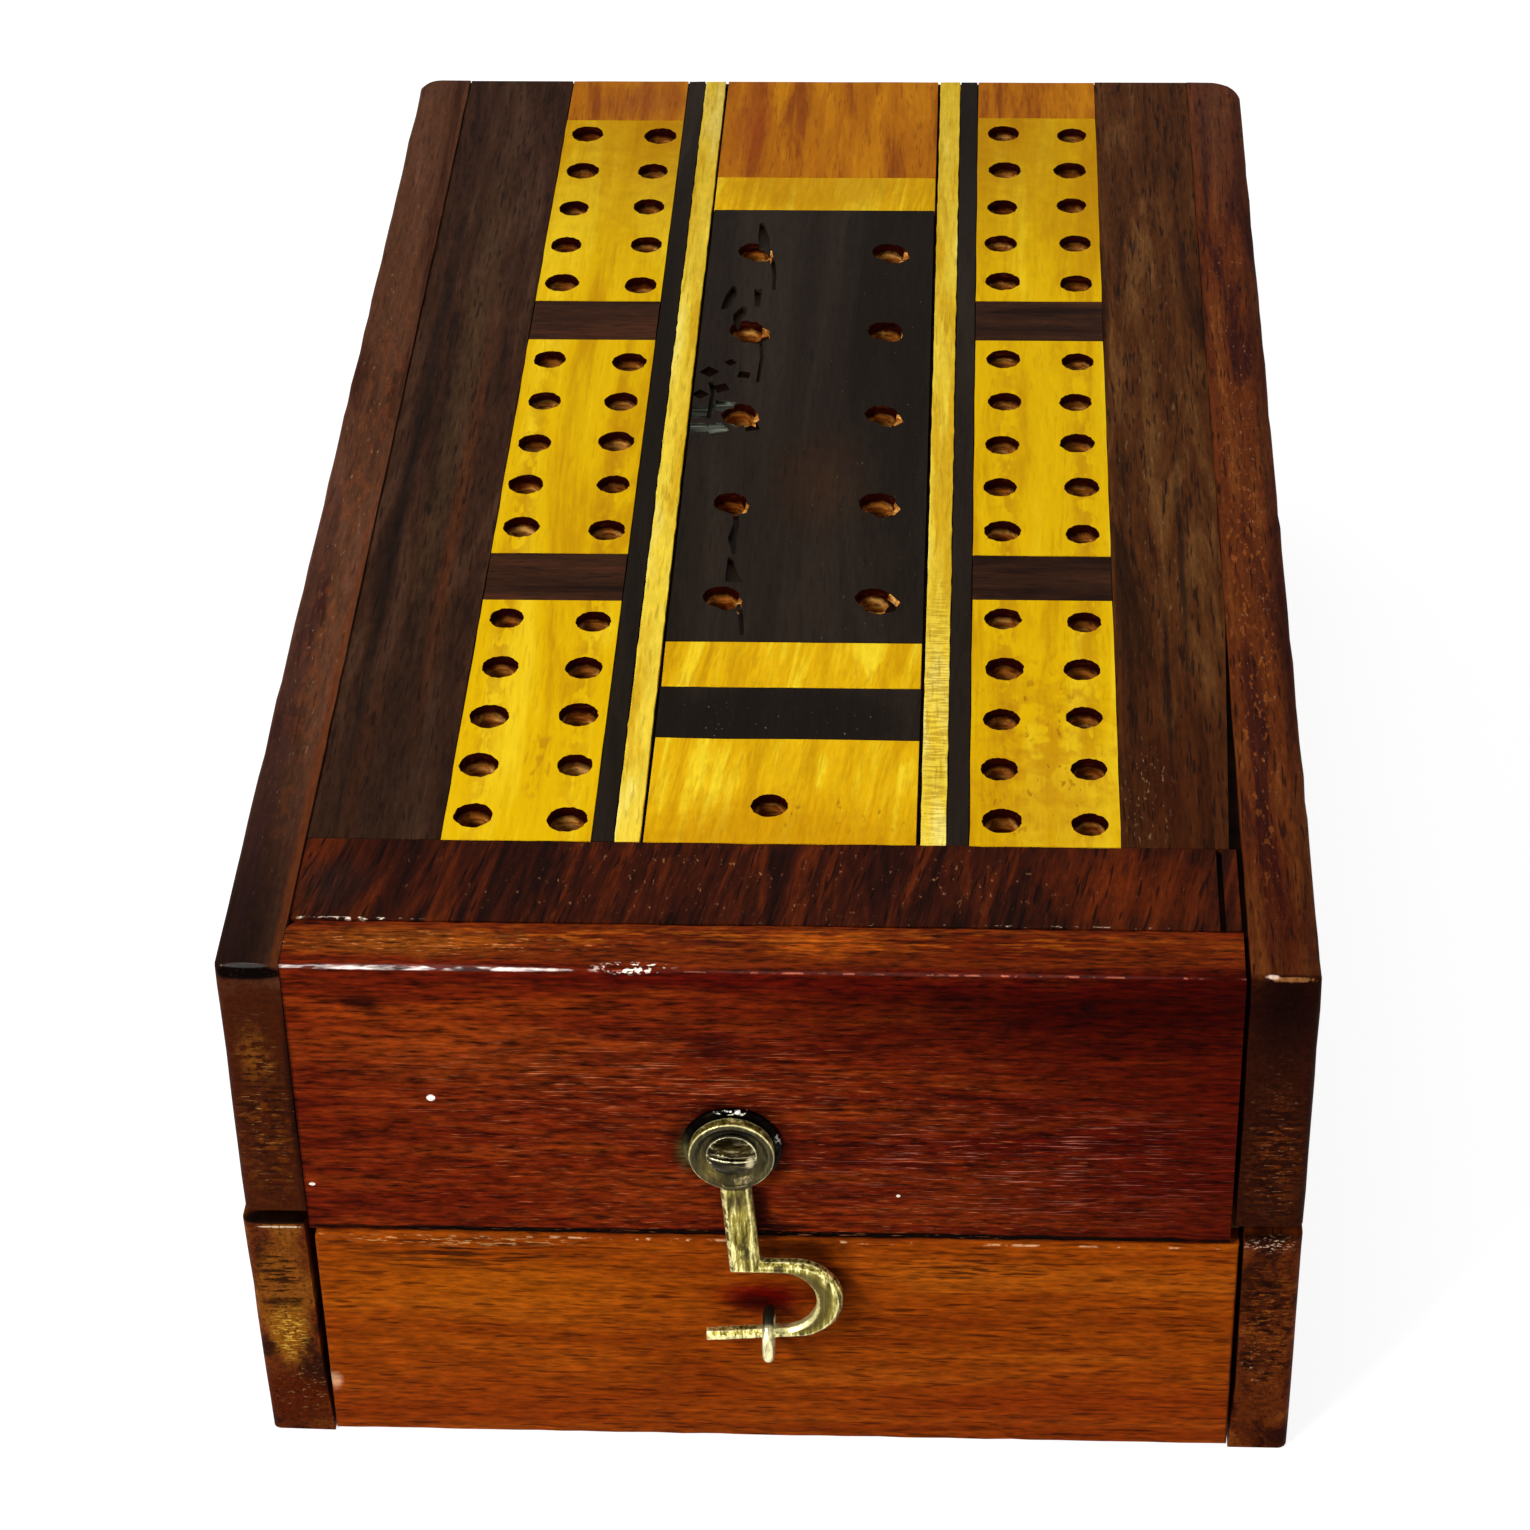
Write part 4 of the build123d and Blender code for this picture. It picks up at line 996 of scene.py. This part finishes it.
# ---- Hook, collar, screw and eye ----
# The latch: a flat cast brass hook with a dished round head turns on a slotted screw over a dark collar,
# and its curl drops through a brass screw eye in the drawer front. All of it is old, brown and rubbed.


def brass(name, dark, body, bright, edge_low=0.49, edge_high=0.53, rough=0.42, metal=0.75,
          streaks=(1500, 1500, 1500), lustre=0.85, marks=()):
    """Old brass: dark in its hollows, drawn out in streaks, and bright where hands have rubbed it."""
    made, tree = empty_material(name)
    place = put(tree, "ShaderNodeTexCoord").outputs["Object"]
    point = put(tree, "ShaderNodeNewGeometry").outputs["Pointiness"]
    patina = cloud(tree, stretched(tree, place, streaks), detail=4, roughness=0.65)
    pits = cloud(tree, place, detail=3, roughness=0.6, scale=2600)
    worn = maths(tree, "ADD", point, maths(tree, "MULTIPLY", maths(tree, "SUBTRACT", patina, 0.5), 0.05))
    ridge = spread(tree, worn, edge_low, edge_high)
    base = blend_colour(tree, spread(tree, patina, 0.38, 0.52), paint(dark), paint(body))
    base = blend_colour(tree, spread(tree, patina, 0.53, 0.63, 0, lustre), base, paint(bright))
    colour = blend_colour(tree, ridge, base, paint(bright))
    colour = blend_colour(tree, spread(tree, pits, 0.66, 0.76, 0, 0.7), colour, paint(dark))
    shine = spread(tree, patina, 0.35, 0.65, rough + 0.1, rough - 0.08)
    colour, shine, height, varnish = lay_marks(tree, place, marks, colour, shine, patina)
    gain = spread(tree, patina, 0.32, 0.68, 0.72, 1.3)
    colour = scaled(tree, colour, gain)
    normal = put(tree, "ShaderNodeBump", {"Height": height, "Strength": 0.35, "Distance": 0.0001})
    surface = put(tree, "ShaderNodeBsdfPrincipled",
                  {"Base Color": colour, "Roughness": shine, "Metallic": metal,
                   "Normal": normal.outputs[0]})
    put(tree, "ShaderNodeOutputMaterial", {"Surface": surface.outputs[0]})
    return made


hook_brass = brass("hook_brass", "52440f", "968836", "f0e6a0", 0.505, 0.53, rough=0.36,
                   streaks=(2100, 2100, 260), marks=[
    mark("2e260a", (-3.4, -87.1, 38.8), (4.02, 4, 4.02), soft=0.05, torn=0.1, amount=0.96),
    mark("100a03", (-3.4, -87.1, 38.9), (2.75, 4, 2.75), soft=0.2, torn=0.2, amount=0.95),
    mark("5e5020", (-5.2, -87.1, 37.4), (1.7, 4, 2.4), soft=0.9, torn=0.9, amount=0.8),
    # Painted shadow: a black crescent cast by the screw on the dish above it
    mark("0c0802", (-3.2, -87.1, 41.3), (2.9, 4, 1.0), torn=0.3, amount=0.95),
    mark("3a2a08", (-3.0, -87.1, 33.8), (1.7, 4, 1.8), soft=0.9, torn=0.8, amount=0.8),
    mark("2c2008", (-2.4, -87.1, 27.5), (1.0, 4, 1.8), soft=0.9, torn=1.4, speck=(0.5, 1, 0.7), cutoff=0.5,
         amount=0.8),
    mark("7a6c24", (2.2, -87.1, 21.3), (4.12, 4, 4.12), soft=0.08, torn=0.14, amount=0.85),
    mark("3e320c", (2.6, -87.1, 21.3), (3.3, 4, 3.9), soft=0.12, torn=0.3, amount=0.7),
    mark("ece29c", (0.9, -87.1, 21.15), (3.95, 4, 3.95), soft=0.06, torn=0.2, amount=0.9)])
collar_brass = brass("collar_brass", "030202", "080503", "201c14", 0.54, 0.6, rough=0.5, metal=1, lustre=0,
                     marks=[
    mark("6a6438", (-8.2, -86, 37.6), (1.8, 2, 3.6), soft=0.9, torn=0.7, amount=0.85),
    # Painted highlights: white glints at the collar's top and right
    mark("e8e4d8", (-2.6, -86, 43.2), (2.6, 2, 0.3), soft=0.5, torn=0.6, speck=(0.7, 1, 0.4), cutoff=0.56),
    mark("88847a", (1.0, -86, 40.4), (0.5, 2, 1.8), torn=0.8, speck=(0.4, 1, 0.6), cutoff=0.56)])
screw_brass = brass("screw_brass", "140e05", "33290f", "d8cea4", 0.505, 0.535, rough=0.36, metal=1,
                    lustre=0.12, streaks=(500, 1500, 1900), marks=[
    mark("080502", (-3.6, -88, 40.8), (2.8, 3, 0.9), soft=0.7, torn=0.3, amount=0.9),
    mark("c8bc94", (-1.6, -88, 38.0), (0.6, 3, 1.1), torn=0.9, amount=0.85)])
eye_brass = brass("eye_brass", "6a6030", "b4aa66", "ece4b0", 0.48, 0.53, streaks=(1800, 1800, 500), marks=[
    # Painted shade: the upper back of the ring, under the hook's curl, is darkened to near black
    mark("060302", (-0.3, -86.5, 19.4), (1.8, 4, 2.2), soft=0.3, torn=0.2, amount=0.98)])


def cast(node, material, body, voxel, dents, dent_size):
    """A worn casting: the solid's form with its arrises softened and its faces slightly dented."""
    piece = bpy.data.objects.new("cast_" + node, nodes[node].data.copy())
    bpy.context.scene.collection.objects.link(piece)
    piece.data.materials.clear()
    open_edit(piece, "VERT")
    bpy.ops.mesh.select_all(action="SELECT")
    bpy.ops.mesh.remove_doubles(threshold=0.001 * MM)
    bpy.ops.object.mode_set(mode="OBJECT")
    melt = piece.modifiers.new("melt", "REMESH")
    melt.mode = "VOXEL"
    melt.voxel_size = voxel
    soften = piece.modifiers.new("soften", "SMOOTH")
    soften.factor = 0.5
    soften.iterations = 3
    lumps = bpy.data.textures.new(node + "_dents", "CLOUDS")
    lumps.noise_scale = dent_size
    dent = piece.modifiers.new("dent", "DISPLACE")
    dent.texture = lumps
    dent.texture_coords = "LOCAL"
    dent.strength = dents
    dent.mid_level = 0.55
    apply_all(piece)
    finish_piece(piece, material, body, [node], angle=60)
    return piece


cast("latch_hook", hook_brass, "hook", 0.11 * MM, 0.08 * MM, 1.0 * MM)
cast("hook_collar", collar_brass, "case", 0.12 * MM, 0.1 * MM, 1.2 * MM)
cast("hook_screw", screw_brass, "case", 0.08 * MM, 0.04 * MM, 0.8 * MM)
cast("screw_eye", eye_brass, "drawer", 0.08 * MM, 0.05 * MM, 0.8 * MM)
